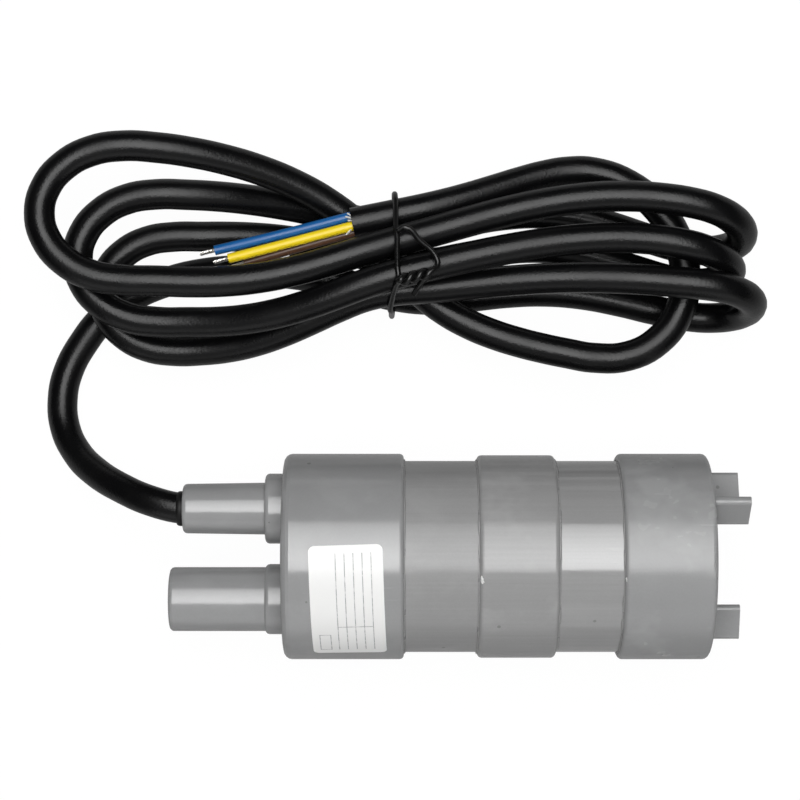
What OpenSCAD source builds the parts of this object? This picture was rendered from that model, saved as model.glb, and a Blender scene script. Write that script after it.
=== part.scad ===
// Submersible water pump for a caravan or boat tank, lying on its side with its
// cable wound into a figure of eight. All sizes are in millimetres.
// X runs along the pump from the outlet to the inlet feet, Z is up, and Z = 0 is the floor.

/* [Casing] */
// Outside diameter of the two casing tubes
tube_od = 40; // [36:0.5:48]
// Wall of the casing tubes
tube_wall = 1.9; // [1.5:0.1:2.6]
// Wall of the two end caps around the tube
cap_wall = 1.4; // [1:0.1:3]
// Wall of the coupling collar around the tubes
collar_wall = 1.1; // [1:0.1:3]
// Length of the outlet cap
cap_len = 25; // [20:0.5:34]
// Visible length of the rear tube
rear_gap = 15.3; // [8:0.1:30]
// Length of the coupling collar
collar_len = 16.2; // [10:0.1:24]
// Visible length of the front tube
front_gap = 13.1; // [8:0.1:30]
// Length of the inlet cap
inlet_len = 18.7; // [16:0.1:28]
// Thickness of the closed end of each cap
end_wall = 2.4; // [1.6:0.1:4]
// Rounding of the outlet cap's edge
cap_round = 1.7; // [0.5:0.1:2.2]
// Rounding of the inlet cap's edge
inlet_round = 1; // [0.4:0.1:2]
// Rounding of the open edges of caps, collar and cable sleeve
rim_round = 0.9; // [0.3:0.1:0.9]
// Water space between the outlet cap's end and the motor pod
head_room = 3.4; // [2:0.1:8]
// Depth of the inlet chamber behind the inlet wall
inlet_room = 5.9; // [3:0.1:8]
// Step that stops each tube inside its cap
stop_ledge = 1.2; // [0.6:0.1:2]
// Height of the stop rib inside the collar
stop_rib = 1; // [0.5:0.1:1.6]
// Width of the stop rib inside the collar
stop_rib_w = 1.2; // [0.8:0.1:3]

/* [Outlet and cable entry] */
// Outside diameter of the hose spigot
spigot_od = 13.4; // [10:0.1:16]
// Bore of the hose spigot
spigot_bore = 9.4; // [6:0.1:10]
// Length of the hose spigot beyond its boss
spigot_len = 20; // [12:0.5:30]
// Distance of the spigot from the pump's axis
spigot_off = 9; // [8:0.1:10]
// Outside diameter of the cable sleeve at its tip
sleeve_tip_od = 10.4; // [9.6:0.1:12]
// Outside diameter of the cable sleeve at its boss
sleeve_base_od = 10.9; // [9.6:0.1:13]
// Length of the cable sleeve beyond its boss
sleeve_len = 17.3; // [10:0.1:28]
// Length of the tight mouth of the cable sleeve
mouth_len = 8; // [7:0.1:9]
// Distance of the cable sleeve from the pump's axis
sleeve_off = 10; // [9:0.1:10.2]
// Diameter of the bosses under the spigot and the sleeve
boss_od = 14.7; // [13.6:0.1:16]
// Length of the bosses
boss_len = 4; // [2:0.1:8]
// Rounding of the bosses' edges
boss_round = 0.9; // [0.3:0.1:1.4]
// Rounding of the spigot's tip
tip_round = 0.9; // [0.3:0.1:1.4]

/* [Inlet end] */
// Length of the inlet feet
foot_len = 7.7; // [4:0.1:14]
// Thickness of an inlet foot
foot_t = 2; // [1.4:0.1:3]
// Radial width of an inlet foot
foot_w = 7.6; // [4:0.1:8]
// Distance of the feet from the cap's edge
foot_inset = 2.9; // [1.5:0.1:4]
// Number of slots in the inlet strainer
slot_count = 10; // [6:1:10]
// Width of a strainer slot
slot_w = 2.2; // [1.2:0.1:2.4]
// Radius where the strainer slots start
slot_r0 = 5.6; // [5.2:0.1:6]
// Radius where the strainer slots end
slot_r1 = 9.6; // [8:0.1:10]

/* [Motor pod] */
// Wall of the sealed pod around the motor
pod_wall = 1.5; // [1:0.1:1.8]
// Thickness of the pod's front wall
pod_front = 3; // [2:0.1:5]
// Thickness of the pod's rear cover
cover_t = 2.4; // [1.6:0.1:4]
// Thickness of the cover gasket
gasket_t = 0.6; // [0.3:0.1:1.2]
// Number of ribs that centre the pod in the tubes
rib_count = 4; // [3:1:6]
// Width of a centring rib
rib_w = 2; // [1.2:0.1:4]
// Diameter of the posts that hold the cover down
post_d = 3; // [2:0.1:4]

/* [Motor] */
// Diameter of the motor can
can_od = 27.7; // [26:0.1:28.6]
// Length of the motor can
can_len = 37.8; // [34:0.1:42]
// Sheet thickness of the motor can
can_wall = 1; // [0.6:0.1:1.6]
// Diameter of the front bearing boss
boss_can_d = 10; // [9:0.1:10.6]
// Length of the front bearing boss
boss_can_len = 2; // [1:0.1:3]
// Diameter of the motor shaft
shaft_d = 2.3; // [1.5:0.05:3.2]
// Outside diameter of the two bushes
bush_d = 6; // [5:0.1:7]
// Radial thickness of the magnets
magnet_t = 2.4; // [1.5:0.1:3]
// Length of the magnets
magnet_len = 21; // [14:0.1:24]
// Air gap between magnets and armature
air_gap = 0.6; // [0.3:0.05:1]
// Length of the armature core
core_len = 16; // [10:0.1:17]
// Number of armature poles
pole_count = 5; // [3:1:7]
// Outside diameter of the commutator
comm_d = 8.4; // [7.4:0.1:9.4]
// Length of the commutator
comm_len = 6; // [4:0.1:6.4]
// Pitch of the two motor screws
screw_pitch = 16; // [15.6:0.1:18]
// Diameter of the motor screws
screw_d = 2.5; // [2:0.1:3]
// Diameter of the motor screw heads
screw_head_d = 4; // [3.4:0.1:4.2]
// Height of the motor screw heads
screw_head_t = 1.6; // [1:0.1:2]

/* [Impeller and seal] */
// Diameter of the impeller
impeller_d = 28; // [20:0.5:29]
// Height of the impeller vanes
vane_h = 6.5; // [4:0.1:7]
// Number of impeller vanes
vane_count = 8; // [5:1:10]
// Thickness of an impeller vane
vane_t = 1.2; // [0.8:0.1:2]
// Angle that a vane sweeps back from hub to rim
vane_sweep = 62; // [20:1:80]
// Thickness of the impeller's back plate
plate_t = 1.4; // [0.8:0.1:2]
// Diameter of the impeller hub
hub_d = 6.4; // [5:0.1:8]
// Outside diameter of the shaft seal
seal_d = 9; // [7:0.1:9.2]
// Width of the shaft seal
seal_w = 3; // [2:0.1:4]

/* [Label] */
// Length of the sticker along the pump
label_w = 15; // [8:0.5:18]
// Arc of the sticker around the cap
label_arc = 72; // [40:1:110]
// Thickness of the sticker
label_t = 0.15; // [0.1:0.05:0.4]
// Distance of the sticker from the cap's closed end
label_inset = 6.1; // [3:0.1:9]
// Angle where the sticker starts, from the side of the pump towards its top
label_from = 80; // [40:1:100]

/* [Cable] */
// Outside diameter of the cable
cable_d = 6.5; // [6:0.1:6.6]
// Outside diameter of one core
core_d = 2.1; // [1.6:0.1:2.4]
// Length of the bared blue core
blue_len = 29.5; // [16:0.5:34]
// Length of the bared yellow core
yellow_len = 27; // [16:0.5:34]
// Length of the bared brown core
brown_len = 24; // [16:0.5:34]
// Length of a tinned wire end
tip_len = 3.2; // [2:0.1:8]
// Diameter of a tinned wire end
strand_d = 1.1; // [0.6:0.1:1.4]
// Diameter of the tie wire
tie_d = 1.2; // [0.8:0.1:1.6]

/* [Clearances] */
// Glued socket clearance between tube and cap, on the radius
socket_fit = 0.1; // [0.05:0.05:0.3]
// Clearance of pieces that are pressed or bonded together
seat_fit = 0.02; // [0.01:0.01:0.05]
// Clearance of the pod ribs in the tubes
rib_fit = 0.15; // [0.05:0.05:0.3]
// Clearance of the motor in its pod
pod_fit = 0.15; // [0.05:0.05:0.3]
// Running clearance of the shaft in bushes and seal
run_fit = 0.03; // [0.01:0.01:0.08]
// Running clearance of the impeller to the walls beside it
impeller_fit = 0.8; // [0.4:0.1:1.5]
// Clearance of the cable in the sleeve's mouth
cable_fit = 0.15; // [0.05:0.05:0.3]
// End clearance of the pod and of the tubes on their stops
end_fit = 0.05; // [0.02:0.01:0.2]

/* [Hidden] */
cap_r = tube_od / 2 + socket_fit + cap_wall;
collar_r = tube_od / 2 + socket_fit + collar_wall;
socket_r = tube_od / 2 + socket_fit;
tube_ir = tube_od / 2 - tube_wall;
chamber_r = tube_ir - stop_ledge;
axis_z = cap_r;
total_len = spigot_len + boss_len + cap_len + rear_gap + collar_len + front_gap + inlet_len + foot_len;

// stations along the pump, from the outlet to the feet
x_tip = -total_len / 2;
x_boss = x_tip + spigot_len;
x_cap = x_boss + boss_len;
x_cap_in = x_cap + end_wall;
x_cap_end = x_cap + cap_len;
x_collar = x_cap_end + rear_gap;
x_collar_mid = x_collar + collar_len / 2;
x_collar_end = x_collar + collar_len;
x_inlet = x_collar_end + front_gap;
x_inlet_end = x_inlet + inlet_len;
x_inlet_in = x_inlet_end - end_wall;
x_front_stop = x_inlet_in - inlet_room;
x_sleeve = x_boss - sleeve_len;

// the pod is clamped between the outlet cap's posts and the inlet cap's ledge
pod_ir = can_od / 2 + pod_fit;
pod_r = pod_ir + pod_wall;
rib_r = tube_ir - rib_fit;
rib_back = 0.5;
x_cover = x_cap_in + head_room;
x_gasket = x_cover + cover_t;
x_pod = x_gasket + gasket_t;
x_rear_stop = x_cover - end_fit;

// the impeller is set from the inlet wall, and the motor from the impeller
x_vane_end = x_inlet_in - impeller_fit;
x_vane = x_vane_end - vane_h;
x_plate = x_vane - plate_t;
hub_back = 1.6;
x_hub = x_plate - hub_back;
x_seal_end = x_hub - impeller_fit;
x_seal = x_seal_end - seal_w;
seal_neck = 0.6;
x_boss_end = x_seal - seal_neck;
x_pod_in = x_boss_end - boss_can_len - end_fit;
x_pod_front = x_pod_in + pod_front;
x_can_end = x_pod_in - end_fit;
x_can = x_can_end - can_len;
can_ir = can_od / 2 - can_wall;
seal_hub_wall = 1.2;
seal_hub_r = seal_d / 2 + seat_fit + seal_hub_wall;

// inside the motor, from the front of the can to the end bell at its rear
magnet_room = 2.5;
coil_over = 2.2;
comm_gap = 0.6;
brush_room = 2.5;
bell_t = 4;
bell_boss_d = 10;
bell_boss_len = 4.5;
bush_inset = 0.5;
bush_len = 5;
magnet_or = can_ir - seat_fit;
magnet_ir = magnet_or - magnet_t;
core_r = magnet_ir - air_gap;
x_magnet = x_can_end - can_wall - magnet_room - magnet_len;
x_core = x_magnet + (magnet_len - core_len) / 2;
x_comm = x_core - coil_over - comm_gap - comm_len;
x_bell_in = x_comm - brush_room;
x_bell = x_bell_in - bell_t;
x_bell_boss = x_bell - bell_boss_len;
x_rear_bush = x_bell_boss + bush_inset;
core_hub_r = 3.6;
pole_w = 2.6;
pole_tip_t = 1.5;
coil_t = 1.3;
comm_hub_r = comm_d / 2 - 1.6;
bar_slot = 0.4;
front_bush_in = 2.4;
x_front_bush = x_can_end - front_bush_in;
front_bush_len = 4;
shaft_inset = 0.4;
shaft_short = 2;
x_shaft = x_rear_bush + shaft_inset;
x_shaft_end = x_vane + vane_h - shaft_short;
shaft_r = shaft_d / 2;
bush_r = bush_d / 2;
brush_gap = 0.05;
brush_t = 2.4;
brush_w = 3.4;
brush_l = 3;
arm_t = 0.4;
arm_w = 3;
x_brush = x_comm + (comm_len - brush_l) / 2;
brush_y = comm_d / 2 + brush_gap;
tab_y = brush_y + brush_t;
tab_len = 6.5;
x_tab = x_bell - tab_len;
screw_bite = 0.8;
cable_r = cable_d / 2;
core_r_lead = core_d / 2;
cable_inside = 5.5;
x_cable_end = x_pod + cable_inside;
core_near = 1.3;
core_far = 1.4;
live_up = 0.8;
live_bow = 0.4;
return_down = 1.6;
return_bow = 2;
earth_down = 1;
earth_in = 0.6;
potting_wall = 0.9;
grommet_wall = 0.9;
grommet_flange = 1;
grommet_flange_t = 0.9;
seat_gap = 0.05;

label_round = 1.2;

casing_fn = 72;
small_fn = 32;
eps = 0.4;

// The figure of eight. A slot is where a strand passes the tie, as [y, z, slope] from the tie.
tie_at = [-13, 62.8, 0];
front_slots = [[-7, 20, 0.05], [-4, 27, 0.25], [3, 24.5, 0.25], [9, 20.5, 0.2]];
back_slots = [[-7.5, 5, -0.25], [0, 5, -0.2], [7.5, 5, -0.15], [-1, 13, -1.25]];
// Heights at which strands lie over one another, a cable and half a millimetre apart
layer = [for (i = [0 : 3]) 4 + 7 * i];
// Height of the strand that passes between the lowest layer and the top one
between = (layer[0] + layer[3]) / 2;
// How far the end of a loop is drawn out, against a round end
left_stretch = 1.25;
right_stretch = 1;
// A lobe is [side, reach, lower y, y half way along the lower run, upper y, y half way along
// the upper run, lower z, upper z, droop].
lobes = [
  [1, 76, -12, -6.5, -6, -4.5, layer[0], layer[3], 0.1],
  [-1, 62.5, -19.5, -15.5, 5, 4.5, layer[1], layer[1], 0],
  [1, 71.5, -4, 3, 2.5, 2.5, layer[0], layer[3], 0.2],
  [-1, 67, -13.5, -12, 13.5, 12, layer[2], layer[2], 0],
  [1, 74, 3, 10.5, 11, 11, layer[0], layer[3], 0.2],
  [-1, 74, -5, -4.5, 23, 18.5, layer[3], layer[3], 0],
  [1, 62, -21, -16, 18.5, 14.5, between, between, 0.15]
];
run_steps = 8;
turn_steps = 8;
tail_len = 9;
hank_sides = 8;

// The lead from the sleeve to the tie. Its middle points are chosen along the photographed curve.
lead_mid = [
  [-64, 11.5, 20.5], [-70.5, 14, 17.2], [-77, 17.5, 12.4], [-81.5, 21.5, 8.2], [-84.5, 27, 5.1],
  [-85.2, 33, 3.8], [-84, 39, 3.5], [-80.5, 45.5, 3.5], [-76, 51, 3.5], [-70.5, 55, 3.5],
  [-64, 58, 3.5], [-54, 60.5, 3.5], [-44, 61, 3.6], [-36, 60.2, 4.2], [-27, 58.8, 4.8]
];
lead_sides = 10;
tip_sag = 0.2;

// Geometry helpers

function unit(v) = v / norm(v);

function ease(t) = t * t * (3 - 2 * t);

function hermite(t, a, slope_a, b, slope_b, len) =
  (2 * t * t * t - 3 * t * t + 1) * a
  + (t * t * t - 2 * t * t + t) * len * slope_a
  + (3 * t * t - 2 * t * t * t) * b
  + (t * t * t - t * t) * len * slope_b;

function reversed(list) = [for (i = [len(list) - 1 : -1 : 0]) list[i]];

function tail(list) = [for (i = [1 : len(list) - 1]) list[i]];

// One point of a smooth curve through four neighbours
function smooth_point(a, b, c, d, t) =
  0.5 * (2 * b + (c - a) * t + (2 * a - 5 * b + 4 * c - d) * t * t + (3 * b - a - 3 * c + d) * t * t * t);

// A smooth curve through a list of points, with its first and last stretches straight
function smooth_route(p, steps) = concat(
  [p[0], p[1]],
  [
    for (i = [1 : len(p) - 3])
      for (s = [1 : steps])
        smooth_point(p[i - 1], p[i], p[i + 1], p[i + 2], s / steps)
  ],
  [p[len(p) - 1]]
);

function ring(c, t, r, n) =
  let (side = unit(cross(t, [0, 0, 1])))
  let (up = cross(side, t))
  [for (i = [0 : n - 1]) c + r * (cos(360 * i / n) * side + sin(360 * i / n) * up)];

function tangents(p) = [
  for (i = [0 : len(p) - 1])
    unit(p[min(i + 1, len(p) - 1)] - p[max(i - 1, 0)])
];

// A closed tube along a route; the two end faces look along the given directions
module tube(route, r, n, first_dir, last_dir) {
  m = len(route);
  mid_dirs = tangents(route);
  dirs = [for (i = [0 : m - 1]) i == 0 ? unit(first_dir) : i == m - 1 ? unit(last_dir) : mid_dirs[i]];
  points = [for (i = [0 : m - 1]) each ring(route[i], dirs[i], r, n)];
  walls = [
    for (i = [0 : m - 2])
      for (j = [0 : n - 1])
        let (a = i * n + j)
        let (b = i * n + (j + 1) % n)
        each [[a, b + n, b], [a, a + n, b + n]]
  ];
  first_cap = [for (j = [1 : n - 2]) [0, j, j + 1]];
  last_cap = [for (j = [1 : n - 2]) [(m - 1) * n, (m - 1) * n + j + 1, (m - 1) * n + j]];
  polyhedron(points, concat(walls, first_cap, last_cap));
}

// Children are drawn along Z and laid along the pump's axis
module on_axis() {
  translate([0, 0, axis_z])
    rotate([0, 90, 0])
      children();
}

// Turns a child to an angle measured from +Y towards +Z, seen along the axis
module at_angle(a) {
  rotate([0, 0, a + 90])
    children();
}

module pipe(x0, x1, r_out, r_in, sides) {
  translate([0, 0, x0])
    rotate_extrude($fn = sides)
      translate([r_in, 0])
        square([r_out - r_in, x1 - x0]);
}

module rod(x0, x1, r, sides) {
  translate([0, 0, x0])
    cylinder(h = x1 - x0, r = r, $fn = sides);
}

// A rectangle with round corners
module rounded(w, h, r) {
  square([w, h - 2 * r], center = true);
  square([w - 2 * r, h], center = true);
  for (a = [-1, 1])
    for (b = [-1, 1])
      translate([a * (w / 2 - r), b * (h / 2 - r)])
        circle(r = r, $fn = 24);
}

// Casing

// A quarter round from [x, 0] to [x + r, r]
function quarter(x, r, n) = [for (i = [0 : n]) [x + r * sin(90 * i / n), r - r * cos(90 * i / n)]];

// The same round at the other end of a length, from [x + r, len - r] to [x, len]
function end_quarter(x, r, len, n) = [for (p = reversed(quarter(x, r, n))) [p[0], len - p[1]]];

module outlet_cap_shell() {
  depth = x_rear_stop - x_cap;
  translate([0, 0, x_cap])
    rotate_extrude($fn = casing_fn)
      polygon(concat(
        [[0, 0]],
        quarter(cap_r - cap_round, cap_round, 4),
        end_quarter(cap_r - rim_round, rim_round, cap_len, 4),
        [
          [socket_r, cap_len], [socket_r, depth], [chamber_r, depth], [chamber_r, end_wall],
          [0, end_wall]
        ]
      ));
}

module spigot() {
  r = spigot_od / 2;
  translate([0, -spigot_off, x_tip])
    rotate_extrude($fn = 48)
      polygon(concat(
        [[0, 0]],
        quarter(r - tip_round, tip_round, 3),
        [[r, spigot_len + eps], [0, spigot_len + eps]]
      ));
}

module sleeve() {
  translate([0, sleeve_off, x_sleeve])
    rotate_extrude($fn = 48)
      polygon(concat(
        [[0, 0]],
        quarter(sleeve_tip_od / 2 - rim_round, rim_round, 3),
        [[sleeve_base_od / 2, sleeve_len + eps], [0, sleeve_len + eps]]
      ));
}

module boss(off) {
  r = boss_od / 2;
  translate([0, off, x_boss])
    rotate_extrude($fn = 48)
      polygon(concat(
        [[0, 0]],
        quarter(r - boss_round, boss_round, 3),
        [[r, boss_len + eps], [0, boss_len + eps]]
      ));
}

module cover_posts() {
  for (a = [50, 130, 230, 310])
    at_angle(a)
      translate([pod_r - 2, 0, 0])
        rod(x_cap_in - eps, x_cover - end_fit, post_d / 2, 24);
}

module outlet_cap() {
  color("Silver")
    on_axis()
      difference() {
        union() {
          outlet_cap_shell();
          boss(-spigot_off);
          boss(sleeve_off);
          spigot();
          sleeve();
          cover_posts();
        }
        translate([0, -spigot_off, 0])
          rod(x_tip - eps, x_cap_in + eps, spigot_bore / 2, 48);
        translate([0, sleeve_off, 0])
          rod(x_sleeve - eps, x_cap_in + eps, cable_r + cable_fit, 48);
        translate([0, sleeve_off, 0])
          rod(x_sleeve + mouth_len, x_cap_in + eps, cable_r + potting_wall + seat_fit, 48);
      }
}

module rear_tube() {
  color("Gainsboro")
    on_axis()
      pipe(x_rear_stop + end_fit, x_collar_mid - stop_rib_w / 2 - end_fit, tube_od / 2, tube_ir, casing_fn);
}

module front_tube() {
  color("Gainsboro")
    on_axis()
      pipe(
        x_collar_mid + stop_rib_w / 2 + end_fit, x_front_stop - end_fit,
        tube_od / 2, tube_ir, casing_fn
      );
}

module coupling_collar() {
  half = collar_len / 2;
  rib = stop_rib_w / 2;
  color("Silver")
    on_axis()
      translate([0, 0, x_collar])
        rotate_extrude($fn = casing_fn)
          polygon(concat(
            [[socket_r, 0]],
            quarter(collar_r - rim_round, rim_round, 4),
            end_quarter(collar_r - rim_round, rim_round, collar_len, 4),
            [
              [socket_r, collar_len], [socket_r, half + rib], [socket_r - stop_rib, half + rib],
              [socket_r - stop_rib, half - rib], [socket_r, half - rib]
            ]
          ));
}

module inlet_cap_shell() {
  depth = x_front_stop - x_inlet;
  floor_at = x_inlet_in - x_inlet;
  translate([0, 0, x_inlet])
    rotate_extrude($fn = casing_fn)
      polygon(concat(
        [[0, floor_at], [chamber_r, floor_at], [chamber_r, depth], [socket_r, depth], [socket_r, 0]],
        quarter(cap_r - rim_round, rim_round, 4),
        end_quarter(cap_r - inlet_round, inlet_round, inlet_len, 4),
        [[0, inlet_len]]
      ));
}

module inlet_foot() {
  translate([cap_r - foot_inset - foot_w / 2, 0, x_inlet_end - eps])
    linear_extrude(height = foot_len + eps)
      rounded(foot_w, foot_t, foot_t / 2 - 0.1);
}

module strainer_slot() {
  r = slot_w / 2;
  translate([0, 0, x_inlet_in - eps])
    linear_extrude(height = end_wall + 2 * eps)
      translate([slot_r0 + r, -r])
        union() {
          square([slot_r1 - slot_r0 - slot_w, slot_w]);
          translate([0, r])
            circle(r = r, $fn = 16);
          translate([slot_r1 - slot_r0 - slot_w, r])
            circle(r = r, $fn = 16);
        }
}

module inlet_cap() {
  color("Silver")
    on_axis() {
      difference() {
        inlet_cap_shell();
        for (i = [0 : slot_count - 1])
          at_angle(16 + 360 * i / slot_count)
            strainer_slot();
      }
      for (a = [-22, 47, 197])
        at_angle(a)
          inlet_foot();
    }
}

module rating_label() {
  label_r = cap_r + seat_fit;
  color("White")
    on_axis()
      at_angle(label_from + label_arc / 2)
        intersection() {
          pipe(x_cap, x_cap_end, label_r + label_t, label_r, casing_fn);
          translate([0, 0, x_cap + label_inset + label_w / 2])
            rotate([90, 0, 90])
              linear_extrude(height = cap_r + 1)
                rounded(2 * label_r * sin(label_arc / 2), label_w, label_round);
        }
}

// Motor pod

module motor_pod() {
  color("DimGray")
    on_axis()
      difference() {
        union() {
          rod(x_pod, x_pod_front, pod_r, casing_fn);
          rod(x_pod_front - eps, x_seal_end, seal_hub_r, 40);
          for (i = [0 : rib_count - 1])
            at_angle(45 + 360 * i / rib_count)
              translate([pod_ir + pod_wall / 2, -rib_w / 2, x_pod + rib_back])
                cube([rib_r - pod_ir - pod_wall / 2, rib_w, x_front_stop - end_fit - x_pod - rib_back]);
        }
        rod(x_pod - eps, x_pod_in, pod_ir, casing_fn);
        rod(x_pod_in - eps, x_boss_end, boss_can_d / 2 + pod_fit, 40);
        rod(x_boss_end - eps, x_seal + eps, shaft_r + 0.8, small_fn);
        rod(x_seal, x_seal_end + eps, seal_d / 2 + seat_fit, 40);
        for (s = [-1, 1])
          translate([0, s * screw_pitch / 2, 0])
            rod(x_pod_in - eps, x_pod_front + eps, screw_d / 2 + 0.1, 24);
      }
}

module pod_cover() {
  color("SlateGray")
    on_axis()
      difference() {
        union() {
          rod(x_cover, x_gasket, pod_r, casing_fn);
          pipe(x_gasket - eps, x_pod + 2.5, pod_ir - pod_fit, pod_ir - pod_fit - 1.3, casing_fn);
        }
        translate([0, sleeve_off, 0])
          rod(x_cover - eps, x_pod + 3, cable_r + grommet_wall + 2 * seat_fit, 40);
      }
}

module cover_gasket() {
  color("Black")
    on_axis()
      pipe(x_gasket, x_pod, pod_r, pod_ir, casing_fn);
}

module cable_grommet() {
  color("Black")
    on_axis()
      translate([0, sleeve_off, 0]) {
        pipe(x_cover - eps, x_gasket, cable_r + grommet_wall + seat_fit, cable_r + seat_fit, 40);
        pipe(
          x_cover - grommet_flange_t, x_cover,
          cable_r + grommet_wall + grommet_flange, cable_r + seat_fit, 40
        );
      }
}

module cable_potting() {
  color("Sienna")
    on_axis()
      translate([0, sleeve_off, 0])
        pipe(x_sleeve + mouth_len, x_cap_in, cable_r + potting_wall, cable_r + seat_fit, 40);
}

module cable_inner() {
  color("Black")
    on_axis()
      translate([0, sleeve_off, 0])
        rod(x_sleeve + cable_d, x_cable_end, cable_r, 40);
}

module shaft_seal() {
  lip = shaft_r + run_fit + 0.02;
  color("Black")
    on_axis()
      translate([0, 0, x_seal])
        rotate_extrude($fn = 40)
          polygon([
            [lip, 0], [seal_d / 2, 0], [seal_d / 2, seal_w], [seal_d / 2 - 1, seal_w],
            [seal_d / 2 - 1, 0.9], [lip + 0.7, 0.9], [lip + 0.5, seal_w - 0.6], [lip, seal_w - 0.6]
          ]);
}

// Motor, stationary pieces

module motor_can() {
  boss_r = boss_can_d / 2;
  bore = bush_r + seat_fit;
  color("LightSteelBlue")
    on_axis()
      difference() {
        translate([0, 0, x_can])
          rotate_extrude($fn = casing_fn)
            polygon([
              [can_ir, 0], [can_od / 2, 0], [can_od / 2, can_len], [boss_r, can_len],
              [boss_r, can_len + boss_can_len], [bore, can_len + boss_can_len],
              [bore, can_len - can_wall], [can_ir, can_len - can_wall]
            ]);
        for (s = [-1, 1])
          translate([0, s * screw_pitch / 2, 0])
            rod(x_can_end - 2 * can_wall, x_can_end + eps, screw_d / 2 + seat_fit, 24);
      }
}

module motor_magnets() {
  color("DarkSlateGray")
    on_axis()
      translate([0, 0, x_magnet])
        for (s = [0, 180])
          rotate([0, 0, s + 25])
            rotate_extrude(angle = 130, $fn = casing_fn)
              translate([magnet_ir, 0])
                square([magnet_t, magnet_len]);
}

module end_bell() {
  color("Ivory")
    on_axis()
      difference() {
        union() {
          rod(x_bell, x_bell_in, can_ir - seat_fit, casing_fn);
          rod(x_bell_boss, x_bell + eps, bell_boss_d / 2, 40);
        }
        rod(x_bell_boss - eps, x_bell_in + eps, bush_r + seat_fit, small_fn);
        for (s = [-1, 1])
          translate([
            -arm_w / 2 - seat_gap, s > 0 ? tab_y - seat_gap : -tab_y - arm_t - seat_gap, x_bell - eps
          ])
            cube([arm_w + 2 * seat_gap, arm_t + 2 * seat_gap, bell_t + 2 * eps]);
      }
}

module front_bush() {
  color("Peru")
    on_axis()
      pipe(x_front_bush, x_front_bush + front_bush_len, bush_r, shaft_r + run_fit, small_fn);
}

module rear_bush() {
  color("Peru")
    on_axis()
      pipe(x_rear_bush, x_rear_bush + bush_len, bush_r, shaft_r + run_fit, small_fn);
}

module motor_screws() {
  color("Gray")
    on_axis()
      for (s = [-1, 1])
        translate([0, s * screw_pitch / 2, 0]) {
          rod(x_can_end - can_wall - screw_bite, x_pod_front + eps, screw_d / 2, 24);
          rod(x_pod_front, x_pod_front + screw_head_t, screw_head_d / 2, 24);
        }
}

module brushes() {
  color("Black")
    on_axis()
      for (s = [-1, 1])
        translate([-brush_w / 2, s > 0 ? brush_y : -tab_y, x_brush])
          cube([brush_w, brush_t, brush_l]);
}

module brush_arms() {
  color("Orange")
    on_axis()
      for (s = [-1, 1])
        translate([-arm_w / 2, s > 0 ? tab_y : -tab_y - arm_t, x_bell_in])
          cube([arm_w, arm_t, x_brush + brush_l - x_bell_in]);
}

module terminals() {
  color("Gold")
    on_axis()
      for (s = [-1, 1])
        translate([-arm_w / 2, s > 0 ? tab_y : -tab_y - arm_t, x_tab])
          cube([arm_w, arm_t, x_bell_in - x_tab]);
}

// One insulated core from the cable's end inside the pod to its seat on the motor
module inner_lead(start_off, goal, bow) {
  start = [x_cable_end, sleeve_off, axis_z] + start_off;
  straight = [core_d, 0, 0];
  middle = (start + straight + goal) / 2 + bow;
  route = smooth_route([start, start + straight, middle, goal - straight, goal], 3);
  tube(route, core_r_lead, 8, straight, straight);
}

module lead_live() {
  color("SaddleBrown")
    inner_lead([0, -core_near, live_up], [x_tab - seat_gap, tab_y + arm_t / 2, axis_z], [0, 0, live_bow]);
}

module lead_return() {
  color("RoyalBlue")
    inner_lead(
      [0, -core_near, -return_down],
      [x_tab - seat_gap, -tab_y - arm_t / 2, axis_z],
      [0, 0, -return_bow]
    );
}

module lead_earth() {
  color("Yellow")
    inner_lead(
      [0, core_far, 0],
      [min(x_can, x_bell) - seat_gap, can_ir + can_wall / 2 - earth_in, axis_z - earth_down],
      [0, 0, 0]
    );
}

// Motor, turning pieces

module motor_shaft() {
  color("LightGray")
    on_axis()
      rod(x_shaft, x_shaft_end, shaft_r, small_fn);
}

module pole_shape() {
  difference() {
    circle(r = core_r, $fn = casing_fn);
    circle(r = core_r - pole_tip_t, $fn = casing_fn);
    for (i = [0 : pole_count - 1])
      rotate([0, 0, 360 / pole_count * (i + 0.5)])
        translate([0, -0.7])
          square([core_r + 1, 1.4]);
  }
  for (i = [0 : pole_count - 1])
    rotate([0, 0, 360 / pole_count * i])
      translate([0, -pole_w / 2])
        square([core_r - pole_tip_t / 2, pole_w]);
  circle(r = core_hub_r, $fn = small_fn);
}

module armature_core() {
  color("Gray")
    on_axis()
      translate([0, 0, x_core])
        linear_extrude(height = core_len)
          difference() {
            pole_shape();
            circle(r = shaft_r + seat_fit, $fn = small_fn);
          }
}

// Each coil is a rounded ring of wire round one pole
module armature_coils() {
  gap = 0.1;
  half_w = pole_w / 2 + gap + coil_t;
  r0 = core_hub_r + 0.8;
  r1 = sqrt(pow(core_r - pole_tip_t - gap, 2) - half_w * half_w);
  color("Chocolate")
    on_axis()
      for (i = [0 : pole_count - 1])
        rotate([0, 0, 360 / pole_count * i])
          translate([r0, 0, x_core + core_len / 2])
            rotate([90, 0, 90])
              linear_extrude(height = r1 - r0)
                difference() {
                  rounded(2 * half_w, core_len + 2 * coil_over, coil_t);
                  square([pole_w + 2 * gap, core_len + 2 * gap], center = true);
                }
}

module commutator_hub() {
  color("Maroon")
    on_axis()
      pipe(x_comm, x_comm + comm_len, comm_hub_r, shaft_r + seat_fit, small_fn);
}

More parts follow.
